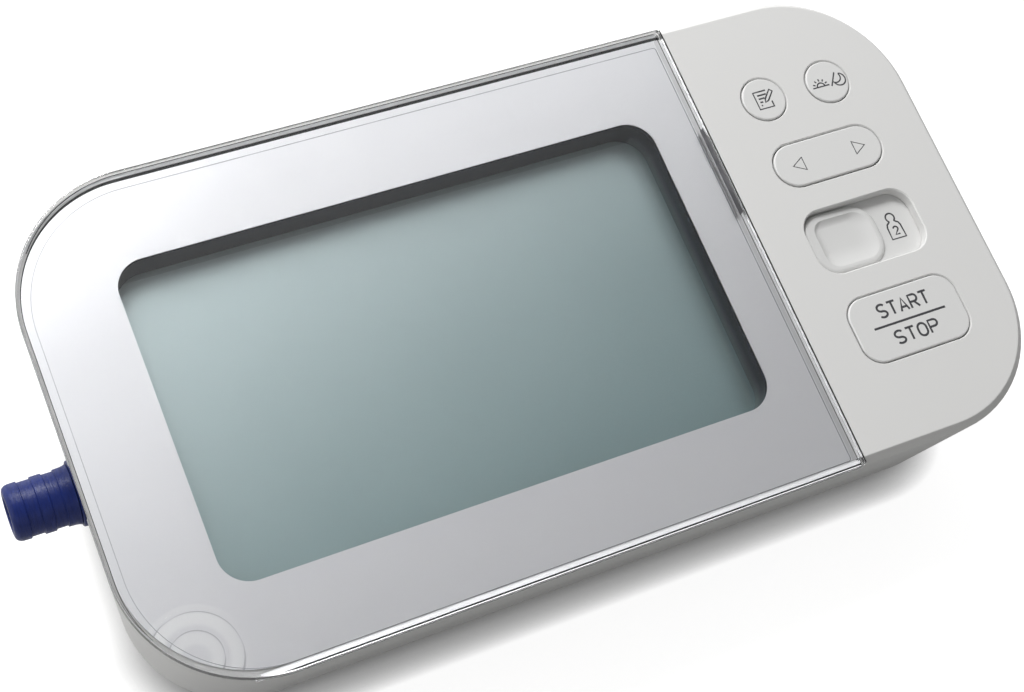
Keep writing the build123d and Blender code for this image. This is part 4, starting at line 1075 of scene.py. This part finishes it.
class CONSOLE_OT_plug(Operator):
    """Turn the blue air plug with its finger rings and finish its seal"""

    bl_idname = "console.plug"
    bl_label = "Air plug"

    AXIS = (-0.6, -22.0)
    END, SEAT, TIP = -86.2, -72.45, -61.4
    BORE, SOCKET, SOCKET_LENGTH = 1.0, 3.2, 9.0
    # Distance from the end, and radius.
    GRIP = (
        (0.0, 4.3), (0.1, 4.75), (0.35, 5.1), (0.8, 5.38), (1.3, 5.5), (2.9, 5.55), (3.05, 5.27),
        (5.4, 5.27), (5.55, 5.58), (7.6, 5.6), (7.75, 5.32), (9.8, 5.32), (9.95, 5.6), (11.2, 5.64),
        (11.9, 5.74), (12.35, 5.9),
    )
    # Distance from the seat, and radius.
    FLANGE = ((-1.3, 5.25), (-1.2, 6.3), (-1.05, 6.45), (-0.3, 6.5), (0.0, 6.3), (0.0, 4.0))
    # Distance from the tip, and radius.
    NOSE = ((-5.2, 4.0), (-5.2, 3.2), (-3.6, 3.2), (-3.6, 4.0), (-0.6, 4.0), (-0.2, 3.85), (0.0, 3.4))

    def execute(self, context):
        blue = turned_plastic("plug_blue", context.scene.console_colours.plug)
        dress(self.plug(), "air_connector", blue, ["air_plug"])
        wear("plug_o_ring", soft_rubber("seal_rubber", (0.02, 0.02, 0.02), 0.5))
        return {"FINISHED"}

    def plug(self):
        profile = [(self.END + x, r) for x, r in self.GRIP]
        profile += [(self.SEAT + x, r) for x, r in self.FLANGE]
        profile += [(self.TIP + x, r) for x, r in self.NOSE]
        floor = self.END + self.SOCKET_LENGTH
        profile += [(self.TIP, self.BORE), (floor, self.BORE), (floor, self.SOCKET)]
        profile += [(self.END + 0.4, self.SOCKET), (self.END, self.SOCKET + 0.4), profile[0]]
        plug = smooth(turned("blue_plug", profile), 50)
        plug.location = (0, self.AXIS[0] * MM, self.AXIS[1] * MM)
        return settle(plug, FACE)


class CONSOLE_OT_works(Operator):
    """Finish everything inside the case"""

    bl_idname = "console.works"
    bl_label = "Works"

    def execute(self, context):
        black = moulded_plastic("inner_black", (0.03, 0.03, 0.034), roughness=0.45)
        ivory = moulded_plastic("inner_ivory", (0.62, 0.59, 0.50), roughness=0.4)
        steel = satin_metal("plated_steel", (0.60, 0.60, 0.61))
        finishes = {
            black: ("lcd_holder", "board_chips", "buzzer", "pressure_sensor", "push_switches", "slider_guide",
                    "slide_knob", "air_jack", "pump_head", "dc_jack"),
            ivory: ("memory_pin", "average_pin", "start_pin", "rocker_pins", "rocker_cradle", "air_manifold"),
            steel: ("slide_switch", "pump_motor", "release_valve", "battery_contacts", "board_screws"),
            circuit_board("solder_mask", (0.03, 0.16, 0.07)): ("main_board", "key_board"),
            soft_rubber("inner_rubber", (0.03, 0.03, 0.03)): ("zebra_strips", "pump_saddle"),
            soft_rubber("silicone_tube", (0.55, 0.56, 0.56), 0.35): ("air_tubes",),
            glossy_plastic("ribbon_film", (0.55, 0.26, 0.05)): ("key_ribbon",),
            moulded_plastic("reflector_grey", (0.45, 0.46, 0.48)): ("lcd_reflector",),
            cell_sleeve("cell_sleeve", (0.06, 0.065, 0.08)): ("battery_cells",),
        }
        for material, nodes in finishes.items():
            for node in nodes:
                wear(node, material)
        return {"FINISHED"}


class CONSOLE_PT_sidebar(Panel):
    """The console's pieces, with their sizes and colours"""

    bl_idname = "CONSOLE_PT_sidebar"
    bl_label = "Blood pressure console"
    bl_space_type = "VIEW_3D"
    bl_region_type = "UI"
    bl_category = "Console"

    def draw(self, context):
        scene = context.scene
        for group in (scene.console_colours, scene.console_sizes, scene.console_stage):
            box = self.layout.box()
            for name in group.__annotations__:
                box.prop(group, name)
        for step in STEPS:
            self.layout.operator(step.bl_idname)


GROUPS = (ConsoleColours, ConsoleSizes, ConsoleStage)
STEPS = (
    CONSOLE_OT_stage,
    CONSOLE_OT_case,
    CONSOLE_OT_lens,
    CONSOLE_OT_display,
    CONSOLE_OT_keys,
    CONSOLE_OT_signs,
    CONSOLE_OT_plug,
    CONSOLE_OT_works,
)


def register():
    for group in (*GROUPS, *STEPS, CONSOLE_PT_sidebar):
        bpy.utils.register_class(group)
    bpy.types.Scene.console_colours = PointerProperty(type=ConsoleColours)
    bpy.types.Scene.console_sizes = PointerProperty(type=ConsoleSizes)
    bpy.types.Scene.console_stage = PointerProperty(type=ConsoleStage)


def unregister():
    for name in ("console_colours", "console_sizes", "console_stage"):
        delattr(bpy.types.Scene, name)
    for group in reversed((*GROUPS, *STEPS, CONSOLE_PT_sidebar)):
        bpy.utils.unregister_class(group)


def main():
    register()
    for step in STEPS:
        group, name = step.bl_idname.split(".")
        getattr(getattr(bpy.ops, group), name)()


if __name__ == "__main__":
    main()
